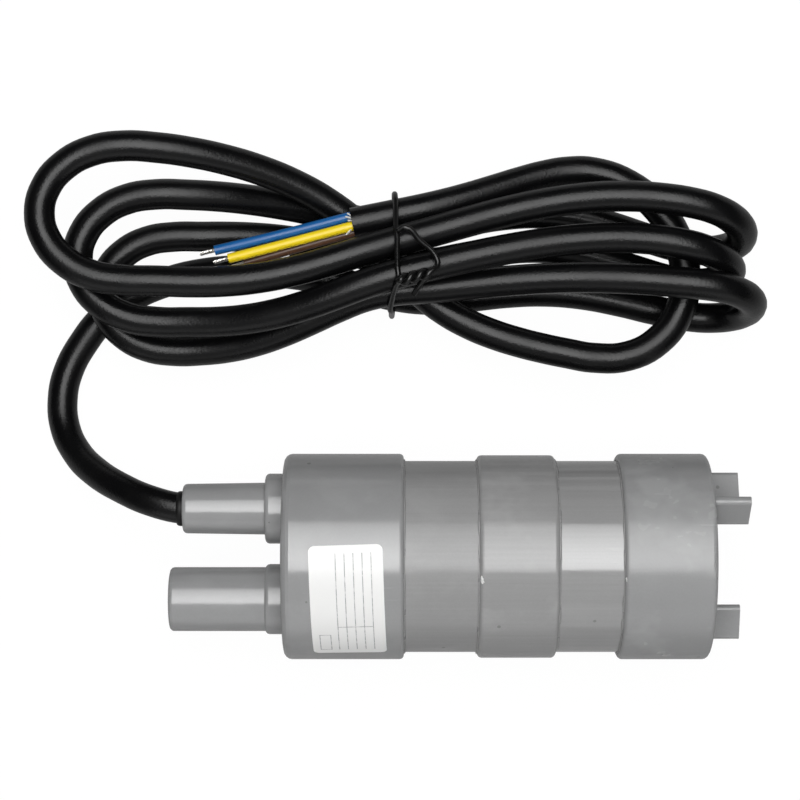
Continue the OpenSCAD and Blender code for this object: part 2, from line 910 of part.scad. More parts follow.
module commutator_bars() {
  step = 360 / pole_count;
  slot_a = bar_slot / (comm_d / 2) * 180 / PI;
  color("DarkOrange")
    on_axis()
      translate([0, 0, x_comm + 0.3])
        for (i = [0 : pole_count - 1])
          rotate([0, 0, step * i + slot_a / 2])
            rotate_extrude(angle = step - slot_a, $fn = 60)
              translate([comm_hub_r + seat_fit, 0])
                square([comm_d / 2 - comm_hub_r - seat_fit, comm_len - 0.6]);
}

module thrust_washers() {
  r = shaft_r + seat_fit;
  x_rear = x_rear_bush + bush_len + 0.2;
  x_front = x_core + core_len;
  color("White")
    on_axis() {
      pipe(x_rear, x_comm, r + 0.9, r, small_fn);
      pipe(x_front, x_front_bush - 0.2, r + 0.9, r, small_fn);
    }
}

function vane_edge(shift, n) = [
  for (i = [0 : n])
    let (t = i / n)
    let (r = hub_d / 2 - 0.3 + t * (impeller_d / 2 - hub_d / 2 + 0.2))
    let (a = -vane_sweep * t * (1.35 - 0.35 * t) + shift / r * 180 / PI)
    [r * cos(a), r * sin(a)]
];

module vane() {
  translate([0, 0, x_vane - eps])
    linear_extrude(height = vane_h + eps)
      polygon(concat(vane_edge(vane_t / 2, 8), reversed(vane_edge(-vane_t / 2, 8))));
}

module impeller() {
  color("WhiteSmoke")
    on_axis()
      difference() {
        union() {
          rod(x_hub, x_vane_end - 1, hub_d / 2, small_fn);
          rod(x_plate, x_vane, impeller_d / 2, casing_fn);
          for (i = [0 : vane_count - 1])
            rotate([0, 0, 360 / vane_count * i])
              vane();
        }
        rod(x_hub - eps, x_shaft_end + 0.3, shaft_r + seat_fit, small_fn);
      }
}

// Cable

// One run of a lobe, from its slot at the tie past a middle height to the start of its end bend
function lobe_run(side, slot, len, y, middle, z, droop) =
  let (bow = middle - hermite(0.5, slot[0], side * slot[2], y, -droop, len))
  [
    for (i = [0 : run_steps])
      let (t = i / run_steps)
      [
        side * len * t,
        hermite(t, slot[0], side * slot[2], y, -droop, len) + bow * pow(4 * t * (1 - t), 2),
        slot[1] + (z - slot[1]) * ease(t)
      ]
  ];

// The end bend of a lobe, half an ellipse from its lower run to its upper run
function lobe_turn(side, start, tip, y0, y1, z0, z1, droop) = [
  for (i = [1 : turn_steps - 1])
    let (a = -90 + 180 * i / turn_steps)
    let (f = (1 + sin(a)) / 2)
    [
      side * (start + tip * cos(a)),
      y0 + (y1 - y0) * f - droop * tip * cos(a),
      z0 + (z1 - z0) * f
    ]
];

function lobe(row, first, last) =
  let (stretch = row[0] < 0 ? left_stretch : right_stretch)
  let (tip = stretch * norm([row[4] - row[2], row[7] - row[6]]) / 2)
  let (start = row[1] - tip)
  concat(
    lobe_run(row[0], first, start, row[2], row[3], row[6], row[8]),
    lobe_turn(row[0], start, tip, row[2], row[4], row[6], row[7], row[8]),
    reversed(lobe_run(row[0], last, start, row[4], row[5], row[7], row[8]))
  );

function lobe_slots(i) =
  let (k = floor(i / 2))
  i % 2 == 0 ? [back_slots[k], front_slots[k]] : [front_slots[k], back_slots[k + 1]];

end_slot = front_slots[len(front_slots) - 1];
end_dir = unit([-1, -end_slot[2], 0]);
hank_route = concat(
  [[0, back_slots[0][0], back_slots[0][1]]],
  [
    for (i = [0 : len(lobes) - 1])
      let (slots = lobe_slots(i))
      each tail(lobe(lobes[i], slots[0], slots[1]))
  ],
  [[0, end_slot[0], end_slot[1]] + tail_len * end_dir]
);
hank_points = [for (p = hank_route) tie_at + p];
hank_start = hank_points[0];
hank_end = hank_points[len(hank_points) - 1];
hank_dir = unit([1, back_slots[0][2], 0]);

// Least distance between points of the hank that are more than four loops' rings apart
apart = 6;
hank_gap = min([
  for (i = [0 : len(hank_points) - 1 - apart])
    for (j = [i + apart : len(hank_points) - 1])
      norm(hank_points[i] - hank_points[j])
]) - cable_d;
echo(hank_least_gap = hank_gap);

lead_points = concat(
  [[x_sleeve + cable_d, sleeve_off, axis_z], [x_sleeve, sleeve_off, axis_z]],
  lead_mid,
  [hank_start - cable_d * hank_dir, hank_start - seat_gap * hank_dir]
);

module cable_lead() {
  color("Black")
    tube(smooth_route(lead_points, 2), cable_r, lead_sides, [-1, 0, 0], hank_dir);
}

module cable_hank() {
  color("Black")
    tube(hank_points, cable_r, hank_sides, hank_dir, end_dir);
}

// The tie wire runs round the outer strands like a belt round pegs
tie_reach = cable_r * 1.12 + tie_d / 2 + 0.1;
pegs = [front_slots[1], front_slots[2], front_slots[3], back_slots[2], back_slots[0], front_slots[0]];
belt_start = 100;

function peg_normal(i) =
  let (d = pegs[(i + 1) % len(pegs)] - pegs[i])
  atan2(d[0], -d[1]);

function belt_arc(i, n) =
  let (a0 = i == 0 ? belt_start : peg_normal(i - 1))
  let (turn = (a0 - peg_normal(i) + 720) % 360)
  [
    for (j = [0 : n])
      let (a = a0 - turn * j / n)
      [pegs[i][0] + tie_reach * cos(a), pegs[i][1] + tie_reach * sin(a)]
  ];

belt = [for (i = [0 : len(pegs) - 1]) each belt_arc(i, 4)];
knot_y = -5.5;
knot_z = 33;
twist_turns = 1.5;
twist_len = 6;
twist_r = 0.76;

function twist_point(t, phase) =
  let (a = phase + 360 * twist_turns * t)
  [1.2 + twist_len * t, knot_y + 1.6 * t + twist_r * sin(a), knot_z - 0.6 * t + twist_r * cos(a)];

function twist(phase) = [for (i = [0 : 9]) twist_point(i / 9, phase)];

tie_route = concat(
  [[4.1, -8.1, 28.5], [5.6, -5.8, 31]],
  reversed(twist(0)),
  [for (i = [0 : len(belt) - 1]) [0.9 - 1.8 * i / (len(belt) - 1), belt[i][0], belt[i][1]]],
  twist(180),
  [[8.9, -2.4, 32.2], [8.4, -0.2, 31.8], [5.3, 2.8, 30.6], [2.3, 5.7, 29.5], [0.7, 4.8, 30]]
);

module hank_tie() {
  points = [for (p = tie_route) tie_at + p];
  last = len(points) - 1;
  color("DarkSlateGray")
    tube(points, tie_d / 2, 8, points[1] - points[0], points[last] - points[last - 1]);
}

// The three cores leave the sheath's end side by side and spread a little towards their tips
core_dir = unit([-1, -0.27, 0]);
core_side = [core_dir[1], -core_dir[0], 0];
end_side = [end_dir[1], -end_dir[0], 0];

function core_route(off, lean, run, sag) = [
  for (i = [0 : 6])
    let (t = i / 6)
    hank_end + seat_gap * end_dir + off[0] * end_side + [0, 0, off[1]]
    + run * t * core_dir + lean * t * t * core_side - [0, 0, sag * t * t]
];

blue_route = core_route([1.4, 0.4], 0.6, blue_len, 0.6);
yellow_route = core_route([-0.7, 1.2], 0.2, yellow_len, 0.4);
brown_route = core_route([-1.9, -0.9], -0.2, brown_len, 0.8);

module core(route) {
  last = len(route) - 1;
  tube(route, core_r_lead, 8, end_dir, route[last] - route[last - 1]);
}

module core_blue() {
  color("RoyalBlue")
    core(blue_route);
}

module core_yellow() {
  color("Gold")
    core(yellow_route);
}

module core_brown() {
  color("SaddleBrown")
    core(brown_route);
}

module wire_end(route) {
  last = len(route) - 1;
  dir = unit(route[last] - route[last - 1]);
  tip = route[last] + tip_len * dir;
  tube([route[last], route[last] + tip_len / 2 * dir, tip - [0, 0, tip_sag]], strand_d / 2, 8, dir, dir);
}

module wire_ends() {
  color("LightGray") {
    wire_end(blue_route);
    wire_end(yellow_route);
    wire_end(brown_route);
  }
}

outlet_cap();
rear_tube();
coupling_collar();
front_tube();
inlet_cap();
rating_label();
motor_pod();
pod_cover();
cover_gasket();
cable_grommet();
cable_potting();
cable_inner();
shaft_seal();
motor_can();
motor_magnets();
end_bell();
front_bush();
rear_bush();
motor_screws();
brushes();
brush_arms();
terminals();
lead_live();
lead_return();
lead_earth();
motor_shaft();
armature_core();
armature_coils();
commutator_hub();
commutator_bars();
thrust_washers();
impeller();
cable_lead();
cable_hank();
hank_tie();
core_blue();
core_yellow();
core_brown();
wire_ends();
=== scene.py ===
import math

import bpy
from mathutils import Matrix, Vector


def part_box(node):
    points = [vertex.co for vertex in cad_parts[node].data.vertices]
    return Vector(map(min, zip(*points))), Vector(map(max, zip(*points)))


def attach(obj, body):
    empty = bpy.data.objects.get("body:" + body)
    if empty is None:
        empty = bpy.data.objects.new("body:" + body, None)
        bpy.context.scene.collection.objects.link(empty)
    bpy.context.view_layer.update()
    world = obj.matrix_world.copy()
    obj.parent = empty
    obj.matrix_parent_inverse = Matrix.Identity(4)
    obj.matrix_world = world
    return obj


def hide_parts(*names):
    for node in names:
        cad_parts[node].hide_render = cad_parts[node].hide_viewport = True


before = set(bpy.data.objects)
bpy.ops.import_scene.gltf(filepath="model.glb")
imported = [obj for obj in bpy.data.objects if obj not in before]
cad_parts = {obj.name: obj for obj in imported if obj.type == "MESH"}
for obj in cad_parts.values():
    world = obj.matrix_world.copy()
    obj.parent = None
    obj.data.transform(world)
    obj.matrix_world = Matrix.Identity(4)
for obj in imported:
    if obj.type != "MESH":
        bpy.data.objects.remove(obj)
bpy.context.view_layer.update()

bl_info = {
    "name": "Caravan pump dresser",
    "version": (1, 0, 0),
    "blender": (4, 5, 0),
    "location": "View3D > Sidebar > Pump",
    "description": "Dresses the packed solids of a caravan water pump with flex, sticker, glue and finishes",
    "category": "Object",
}

MM = 0.001
PUMP = "pump"

CAP_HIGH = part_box("outlet_cap")[1]
AXIS_Z = CAP_HIGH.z / 2
CAP_R = AXIS_Z
LABEL_LOW, LABEL_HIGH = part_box("rating_label")
COLLAR_LOW, COLLAR_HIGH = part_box("coupling_collar")
INLET_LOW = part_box("inlet_cap")[0]
TUBE_R = (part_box("front_tube")[1].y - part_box("front_tube")[0].y) / 2
SLEEVE_X = -57.3 * MM
SLEEVE_Y = 10 * MM

# The flex's route, in millimetres, as the solids have it; a slot is a strand's y, z and slope at the tie
TIE_AT = Vector((-13, 62.8, 0))
FRONT_SLOTS = ((-7, 20, 0.05), (-4, 27, 0.25), (3, 24.5, 0.25), (9, 20.5, 0.2))
BACK_SLOTS = ((-7.5, 5, -0.25), (0, 5, -0.2), (7.5, 5, -0.15), (-1, 13, -1.25))
# Heights at which strands lie over one another, a cable and half a millimetre apart
LAYER = [4 + 7 * i for i in range(4)]
BETWEEN = (LAYER[0] + LAYER[3]) / 2
# How far the end of a loop is drawn out, against a round end
LEFT_STRETCH, RIGHT_STRETCH = 1.25, 1
# A lobe is side, reach, lower y, y half way along the lower run, upper y, y half way along
# the upper run, lower z, upper z, droop
LOBES = (
    (1, 76, -12, -6.5, -6, -4.5, LAYER[0], LAYER[3], 0.1),
    (-1, 62.5, -19.5, -15.5, 5, 4.5, LAYER[1], LAYER[1], 0),
    (1, 71.5, -4, 3, 2.5, 2.5, LAYER[0], LAYER[3], 0.2),
    (-1, 67, -13.5, -12, 13.5, 12, LAYER[2], LAYER[2], 0),
    (1, 74, 3, 10.5, 11, 11, LAYER[0], LAYER[3], 0.2),
    (-1, 74, -5, -4.5, 23, 18.5, LAYER[3], LAYER[3], 0),
    (1, 62, -21, -16, 18.5, 14.5, BETWEEN, BETWEEN, 0.15),
)
RUN_STEPS = 8
TURN_STEPS = 8
TAIL_LEN = 9
LEAD_MID = (
    (-64, 11.5, 20.5), (-70.5, 14, 17.2), (-77, 17.5, 12.4), (-81.5, 21.5, 8.2), (-84.5, 27, 5.1),
    (-85.2, 33, 3.8), (-84, 39, 3.5), (-80.5, 45.5, 3.5), (-76, 51, 3.5), (-70.5, 55, 3.5),
    (-64, 58, 3.5), (-54, 60.5, 3.5), (-44, 61, 3.6), (-36, 60.2, 4.2), (-27, 58.8, 4.8),
)
CORE_DIR = Vector((-1, -0.27, 0)).normalized()
CORE_STEPS = 6
CORE_GAP = 0.05
# The tinned strands of a core, six round one, and how deep they start in its insulation
STRANDS, STRAND_STEPS = 7, 7
STRAND_LEN, STRAND_SUNK, STRAND_TWIST, STRAND_SAG = 3.7, 0.45, 300, 0.2
# The tie's belt: its first angle, its lean along X, and its room round the strands
BELT_START, BELT_STEPS, BELT_LEAN, BELT_ROOM, BELT_GAP = 100, 4, 0.9, 1.12, 0.1
# The tie's knot, its twisted pair and its two ends, from the tie
KNOT, TWIST_RUN = Vector((1.2, -5.5, 33)), Vector((6, 1.6, -0.6))
TWIST_R, TWIST_TURN, TWIST_STEPS = 0.76, 540, 9
FREE_END = ((4.1, -8.1, 28.5), (5.6, -5.8, 31))
BENT_END = ((8.9, -2.4, 32.2), (8.4, -0.2, 31.8), (5.3, 2.8, 30.6), (2.3, 5.7, 29.5), (0.7, 4.8, 30))

STICKER_GAP, STICKER_STRIPS = 0.03 * MM, 36
FLAKE_Y, FLAKE_R = -3.4 * MM, 21.1 * MM
# The floor glows white to the camera, and less so in the casing's reflections
FLOOR_SIZE, FLOOR_DROP = 6.0, 0.2 * MM
GLOW, GLOW_SEEN, GLOW_MIRRORED = 1.13, 0.86, 0.22


# Routes


def ease(t):
    return t * t * (3 - 2 * t)


def hermite(t, a, slope_a, b, slope_b, length):
    """A value that leaves a at slope_a and reaches b at slope_b over a length."""
    t2, t3 = t * t, t * t * t
    return (
        (2 * t3 - 3 * t2 + 1) * a
        + (t3 - 2 * t2 + t) * length * slope_a
        + (3 * t2 - 2 * t3) * b
        + (t3 - t2) * length * slope_b
    )


def lobe_run(side, slot, length, y, middle, z, droop):
    """One run of a lobe, from its slot at the tie past a middle y to the start of its end bend."""
    bow = middle - hermite(0.5, slot[0], side * slot[2], y, -droop, length)
    points = []
    for i in range(RUN_STEPS + 1):
        t = i / RUN_STEPS
        across = hermite(t, slot[0], side * slot[2], y, -droop, length) + bow * (4 * t * (1 - t)) ** 2
        points.append(Vector((side * length * t, across, slot[1] + (z - slot[1]) * ease(t))))
    return points


def lobe_turn(side, start, tip, y0, y1, z0, z1, droop):
    """The end bend of a lobe, half an ellipse from its lower run to its upper run."""
    points = []
    for i in range(1, TURN_STEPS):
        a = math.radians(-90 + 180 * i / TURN_STEPS)
        f = (1 + math.sin(a)) / 2
        out = tip * math.cos(a)
        points.append(Vector((side * (start + out), y0 + (y1 - y0) * f - droop * out, z0 + (z1 - z0) * f)))
    return points


def lobe(row, first, last):
    side, reach, y0, middle0, y1, middle1, z0, z1, droop = row
    stretch = LEFT_STRETCH if side < 0 else RIGHT_STRETCH
    tip = stretch * math.hypot(y1 - y0, z1 - z0) / 2
    start = reach - tip
    back = lobe_run(side, last, start, y1, middle1, z1, droop)
    return (
        lobe_run(side, first, start, y0, middle0, z0, droop)
        + lobe_turn(side, start, tip, y0, y1, z0, z1, droop)
        + back[::-1]
    )


def hank_route():
    """The figure of eight from the tie's underside to the cut end."""
    points = [Vector((0, BACK_SLOTS[0][0], BACK_SLOTS[0][1]))]
    for i, row in enumerate(LOBES):
        k = i // 2
        slots = (BACK_SLOTS[k], FRONT_SLOTS[k]) if i % 2 == 0 else (FRONT_SLOTS[k], BACK_SLOTS[k + 1])
        points += lobe(row, *slots)[1:]
    end = FRONT_SLOTS[-1]
    points.append(Vector((0, end[0], end[1])) + TAIL_LEN * end_dir())
    return [TIE_AT + p for p in points]


def end_dir():
    return Vector((-1, -FRONT_SLOTS[-1][2], 0)).normalized()


def flex_route(diameter):
    """The whole flex, from inside the sleeve to its cut end, in millimetres."""
    hank = hank_route()
    lead_in = Vector((1, BACK_SLOTS[0][2], 0)).normalized()
    mouth = Vector((SLEEVE_X / MM, SLEEVE_Y / MM, AXIS_Z / MM))
    lead = [mouth + Vector((diameter, 0, 0)), mouth]
    lead += [Vector(p) for p in LEAD_MID]
    lead.append(hank[0] - diameter * lead_in)
    return lead + hank


def core_route(off, lean, run, sag):
    """A bared core from the sheath's end, side by side with the others and spreading to its tip."""
    root = hank_route()[-1]
    ahead = end_dir()
    end_side = Vector((ahead.y, -ahead.x, 0))
    core_side = Vector((CORE_DIR.y, -CORE_DIR.x, 0))
    at = root + CORE_GAP * ahead + off[0] * end_side + Vector((0, 0, off[1]))
    points = []
    for i in range(CORE_STEPS + 1):
        t = i / CORE_STEPS
        points.append(at + run * t * CORE_DIR + lean * t * t * core_side - Vector((0, 0, sag * t * t)))
    return points


def belt_route(reach):
    """The tie's belt round the outer strands, as y and z from the tie."""
    pegs = [*FRONT_SLOTS[1:], BACK_SLOTS[2], BACK_SLOTS[0], FRONT_SLOTS[0]]

    def peg_normal(i):
        a, b = pegs[i], pegs[(i + 1) % len(pegs)]
        return math.degrees(math.atan2(b[0] - a[0], a[1] - b[1]))

    belt = []
    for i, peg in enumerate(pegs):
        first = BELT_START if i == 0 else peg_normal(i - 1)
        turn = (first - peg_normal(i) + 720) % 360
        for j in range(BELT_STEPS + 1):
            a = math.radians(first - turn * j / BELT_STEPS)
            belt.append((peg[0] + reach * math.cos(a), peg[1] + reach * math.sin(a)))
    return belt


def twist(phase):
    """One wire of the twisted pair, from the knot to the free end."""
    points = []
    for i in range(TWIST_STEPS + 1):
        t = i / TWIST_STEPS
        a = math.radians(phase + TWIST_TURN * t)
        points.append(KNOT + t * TWIST_RUN + TWIST_R * Vector((0, math.sin(a), math.cos(a))))
    return points


def tie_route(flex_d, wire_d):
    """The tie wire: one free end, its twist, the belt, the other twist and the bent-back end."""
    belt = belt_route(flex_d / 2 * BELT_ROOM + wire_d / 2 + BELT_GAP)
    last = len(belt) - 1
    points = [Vector(p) for p in FREE_END]
    points += twist(0)[::-1]
    points += [Vector((BELT_LEAN * (1 - 2 * i / last), y, z)) for i, (y, z) in enumerate(belt)]
    points += twist(180)
    points += [Vector(p) for p in BENT_END]
    return [TIE_AT + p for p in points]


# Modelling helpers


def set_mode(mode):
    bpy.ops.object.mode_set(mode=mode)


def clear_selection():
    if bpy.context.object and bpy.context.object.mode != "OBJECT":
        set_mode("OBJECT")
    bpy.ops.object.select_all(action="DESELECT")


def only(obj):
    clear_selection()
    obj.select_set(True)
    bpy.context.view_layer.objects.active = obj


def named(name):
    """The primitive that was just added, under its own name."""
    obj = bpy.context.object
    obj.name = name
    obj.data.name = name
    return obj


def settle(obj):
    """Puts an object's place, turn and scale into its mesh."""
    only(obj)
    bpy.ops.object.transform_apply(location=True, rotation=True, scale=True)


def apply_modifiers(obj):
    only(obj)
    for name in [m.name for m in obj.modifiers]:
        bpy.ops.object.modifier_apply(modifier=name)


def smooth_faces(obj, angle=40):
    only(obj)
    bpy.ops.object.shade_smooth_by_angle(angle=math.radians(angle))


def wire_curve(name, points_mm, diameter_mm, sides, resolution):
    """A round wire along a route: a curve of one open spline."""
    curve = bpy.data.curves.new(name, "CURVE")
    curve.dimensions = "3D"
    curve.resolution_u = resolution
    curve.bevel_depth = diameter_mm / 2 * MM
    curve.bevel_resolution = sides
    curve.use_fill_caps = True
    spline = curve.splines.new("BEZIER")
    spline.bezier_points.add(len(points_mm) - 1)
    for knot, at in zip(spline.bezier_points, points_mm):
        knot.co = Vector(at) * MM
        knot.handle_left_type = "AUTO"
        knot.handle_right_type = "AUTO"
    obj = bpy.data.objects.new(name, curve)
    bpy.context.scene.collection.objects.link(obj)
    return obj


def to_mesh(obj):
    only(obj)
    bpy.ops.object.convert(target="MESH")
    set_mode("EDIT")
    bpy.ops.mesh.select_all(action="SELECT")
    bpy.ops.mesh.remove_doubles(threshold=0.00001)
    bpy.ops.mesh.normals_make_consistent(inside=False)
    set_mode("OBJECT")
    return obj


def join(name, pieces):
    """Several meshes of one kind as one piece."""
    only(pieces[0])
    for piece in pieces[1:]:
        piece.select_set(True)
    bpy.ops.object.join()
    return named(name)


def put_on(obj, material, body=PUMP):
    """Gives a finished piece its material and the body that it rides on."""
    obj.data.materials.clear()
    obj.data.materials.append(material)
    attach(obj, body)


# Node groups that several finishes share


def new_group(name, outputs, **values):
    """A group with a Vector input, inputs for numbers with their first values, and outputs."""
    group = bpy.data.node_groups.new(name, "ShaderNodeTree")
    sockets = group.interface
    sockets.new_socket(name="Vector", in_out="INPUT", socket_type="NodeSocketVector")
    for key, value in values.items():
        label = key.replace("_", " ")
        sockets.new_socket(name=label, in_out="INPUT", socket_type="NodeSocketFloat").default_value = value
    for label in outputs:
        sockets.new_socket(name=label, in_out="OUTPUT", socket_type="NodeSocketFloat")
    return group, group.nodes.new("NodeGroupInput"), group.nodes.new("NodeGroupOutput")


def math_node(tree, operation, a, b=None, clamp=False):
    """A Math node; a and b are sockets or numbers. Returns its output."""
    node = tree.nodes.new("ShaderNodeMath")
    node.operation = operation
    node.use_clamp = clamp
    for socket, value in zip(node.inputs, (a, b)):
        if isinstance(value, (int, float)):
            socket.default_value = value
        elif value is not None:
            tree.links.new(value, socket)
    return node.outputs[0]


def times(tree, a, b):
    return math_node(tree, "MULTIPLY", a, b)


def noise_node(tree, vector, scale, detail=3.0, roughness=0.55):
    node = tree.nodes.new("ShaderNodeTexNoise")
    node.inputs["Detail"].default_value = detail
    node.inputs["Roughness"].default_value = roughness
    tree.links.new(vector, node.inputs["Vector"])
    if isinstance(scale, (int, float)):
        node.inputs["Scale"].default_value = scale
    else:
        tree.links.new(scale, node.inputs["Scale"])
    return node.outputs["Fac"]


def range_node(tree, value, low, high, to_low=0.0, to_high=1.0):
    node = tree.nodes.new("ShaderNodeMapRange")
    tree.links.new(value, node.inputs["Value"])
    for label, given in (("From Min", low), ("From Max", high), ("To Min", to_low), ("To Max", to_high)):
        if isinstance(given, (int, float)):
            node.inputs[label].default_value = given
        else:
            tree.links.new(given, node.inputs[label])
    return node.outputs["Result"]


def stretch_node(tree, vector, scale):
    node = tree.nodes.new("ShaderNodeMapping")
    node.inputs["Scale"].default_value = scale
    tree.links.new(vector, node.inputs["Vector"])
    return node.outputs["Vector"]


def mottle_group():
    """Slow shade changes and fine grain of a moulded or cast surface."""
    group, ins, outs = new_group(
        "Moulding mottle", ("Shade", "Blotch", "Grain"), Blotch_Scale=60.0, Grain_Scale=2500.0, Depth=0.05
    )
    blotch = noise_node(group, ins.outputs["Vector"], ins.outputs["Blotch Scale"])
    grain = noise_node(group, ins.outputs["Vector"], ins.outputs["Grain Scale"], 2.0, 0.6)
    both = math_node(group, "ADD", times(group, blotch, 0.6), times(group, grain, 0.4))
    centred = times(group, math_node(group, "SUBTRACT", both, 0.5), 2.0)
    shade = math_node(group, "ADD", times(group, centred, ins.outputs["Depth"]), 1.0)
    for label, value in (("Shade", shade), ("Blotch", blotch), ("Grain", grain)):
        group.links.new(value, outs.inputs[label])
    return group


def scuff_group():
    """Fine handling scratches, in patches."""
    group, ins, outs = new_group("Handling scuffs", ("Mask",), Patch_Scale=70.0, Cover=0.5)
    vector = ins.outputs["Vector"]
    slanted = group.nodes.new("ShaderNodeMapping")
    slanted.inputs["Rotation"].default_value = (0.0, 0.3, 0.6)
    slanted.inputs["Scale"].default_value = (120, 2400, 900)
    group.links.new(vector, slanted.inputs["Vector"])
    lines = noise_node(group, slanted.outputs["Vector"], 1.0, 2.0, 0.5)
    thin = range_node(group, lines, 0.60, 0.68)
    patch = noise_node(group, vector, ins.outputs["Patch Scale"], 2.0, 0.5)
    start = math_node(group, "SUBTRACT", 0.75, times(group, ins.outputs["Cover"], 0.4))
    where = range_node(group, patch, start, math_node(group, "ADD", start, 0.12))
    group.links.new(times(group, thin, where), outs.inputs["Mask"])
    return group


def drawn_group():
    """Long faint lines along X, as a pipe has from its die."""
    group, ins, outs = new_group("Drawn lines", ("Lines",))
    along = stretch_node(group, ins.outputs["Vector"], (14, 1500, 1500))
    group.links.new(noise_node(group, along, 1.0, 3.0, 0.6), outs.inputs["Lines"])
    return group


def turned_group():
    """Fine rings round the X axis, as turned or ground metal has."""
    group, ins, outs = new_group("Turned rings", ("Rings",), Pitch_Scale=6000.0)
    split = group.nodes.new("ShaderNodeSeparateXYZ")
    group.links.new(ins.outputs["Vector"], split.inputs[0])
    merge = group.nodes.new("ShaderNodeCombineXYZ")
    for axis, scale in (("X", ins.outputs["Pitch Scale"]), ("Y", 30.0), ("Z", 30.0)):
        group.links.new(times(group, split.outputs[axis], scale), merge.inputs[axis])
    group.links.new(noise_node(group, merge.outputs[0], 1.0, 2.0, 0.5), outs.inputs["Rings"])
    return group


def speck_group():
    """Sparse small dark specks of dirt."""
    group, ins, outs = new_group("Dirt specks", ("Mask",), Scale=420.0)
    cells = group.nodes.new("ShaderNodeTexVoronoi")
    group.links.new(ins.outputs["Vector"], cells.inputs["Vector"])
    group.links.new(ins.outputs["Scale"], cells.inputs["Scale"])
    split = group.nodes.new("ShaderNodeSeparateXYZ")
    group.links.new(cells.outputs["Color"], split.inputs[0])
    size = range_node(group, split.outputs["X"], 0.9, 1.0, 0.0, 0.16)
    dot = math_node(group, "LESS_THAN", cells.outputs["Distance"], size)
    group.links.new(dot, outs.inputs["Mask"])
    return group


GROUPS = {}


def group_node(tree, maker, vector, **values):
    """Places a shared group, made once, in a material with its own values."""
    if maker not in GROUPS:
        GROUPS[maker] = maker()
    node = tree.nodes.new("ShaderNodeGroup")
    node.node_tree = GROUPS[maker]
    tree.links.new(vector, node.inputs["Vector"])
    for label, value in values.items():
        node.inputs[label.replace("_", " ")].default_value = value
    return node


# Finishes


def new_finish(name, rough, metallic=0.0, specular=0.5):
    """A material with its shader and the object's own coordinates."""
    material = bpy.data.materials.new(name)
    material.use_nodes = True
    tree = material.node_tree
    shader = tree.nodes["Principled BSDF"]
    shader.inputs["Roughness"].default_value = rough
    shader.inputs["Metallic"].default_value = metallic
    shader.inputs["Specular IOR Level"].default_value = specular
    where = tree.nodes.new("ShaderNodeTexCoord")
    return material, tree, shader, where.outputs["Object"]


def mix_colour(tree, factor, a, b, blend="MIX"):
    """A colour mix; a and b are sockets or colours."""
    node = tree.nodes.new("ShaderNodeMix")
    node.data_type = "RGBA"
    node.blend_type = blend
    if isinstance(factor, (int, float)):
        node.inputs["Factor"].default_value = factor
    else:
        tree.links.new(factor, node.inputs["Factor"])
    for socket, value in ((node.inputs[6], a), (node.inputs[7], b)):
        if hasattr(value, "is_output"):
            tree.links.new(value, socket)
        else:
            socket.default_value = (*value, 1.0)
    return node.outputs[2]


def grey_of(tree, value):
    node = tree.nodes.new("ShaderNodeCombineColor")
    for socket in node.inputs:
        tree.links.new(value, socket)
    return node.outputs[0]


def shaded(tree, colour, shade):
    """A colour made lighter and darker by a shade near 1."""
    return mix_colour(tree, 1.0, colour, grey_of(tree, shade), "MULTIPLY")


def blotchy_roughness(tree, shader, mottle, low, high, marks=None):
    """Roughness that follows the mottle's blotches and is higher where there are marks."""
    rough = range_node(tree, mottle.outputs["Blotch"], 0.3, 0.7, low, high)
    if marks is not None:
        rough = math_node(tree, "ADD", rough, times(tree, marks, 0.12), clamp=True)
    tree.links.new(rough, shader.inputs["Roughness"])


def bump(tree, shader, height, distance):
    node = tree.nodes.new("ShaderNodeBump")
    node.inputs["Distance"].default_value = distance
    tree.links.new(height, node.inputs["Height"])
    tree.links.new(node.outputs["Normal"], shader.inputs["Normal"])


def moulded_finish(name, colour, rough, depth=0.05, specular=0.5, bump_mm=0.012, blotch=60.0):
    """Injection-moulded plastic: mottled shade, fine grain and a few scuffs."""
    material, tree, shader, at = new_finish(name, rough, specular=specular)
    mottle = group_node(tree, mottle_group, at, Depth=depth, Blotch_Scale=blotch)
    scuffs = group_node(tree, scuff_group, at, Cover=0.45)
    base = shaded(tree, colour, mottle.outputs["Shade"])
    pale = [min(1.0, c * 1.35 + 0.02) for c in colour]
    worn = mix_colour(tree, times(tree, scuffs.outputs["Mask"], 0.5), base, pale)
    tree.links.new(worn, shader.inputs["Base Color"])
    blotchy_roughness(tree, shader, mottle, rough * 0.8, rough * 1.25, scuffs.outputs["Mask"])
    bump(tree, shader, mottle.outputs["Grain"], bump_mm * MM)
    return material


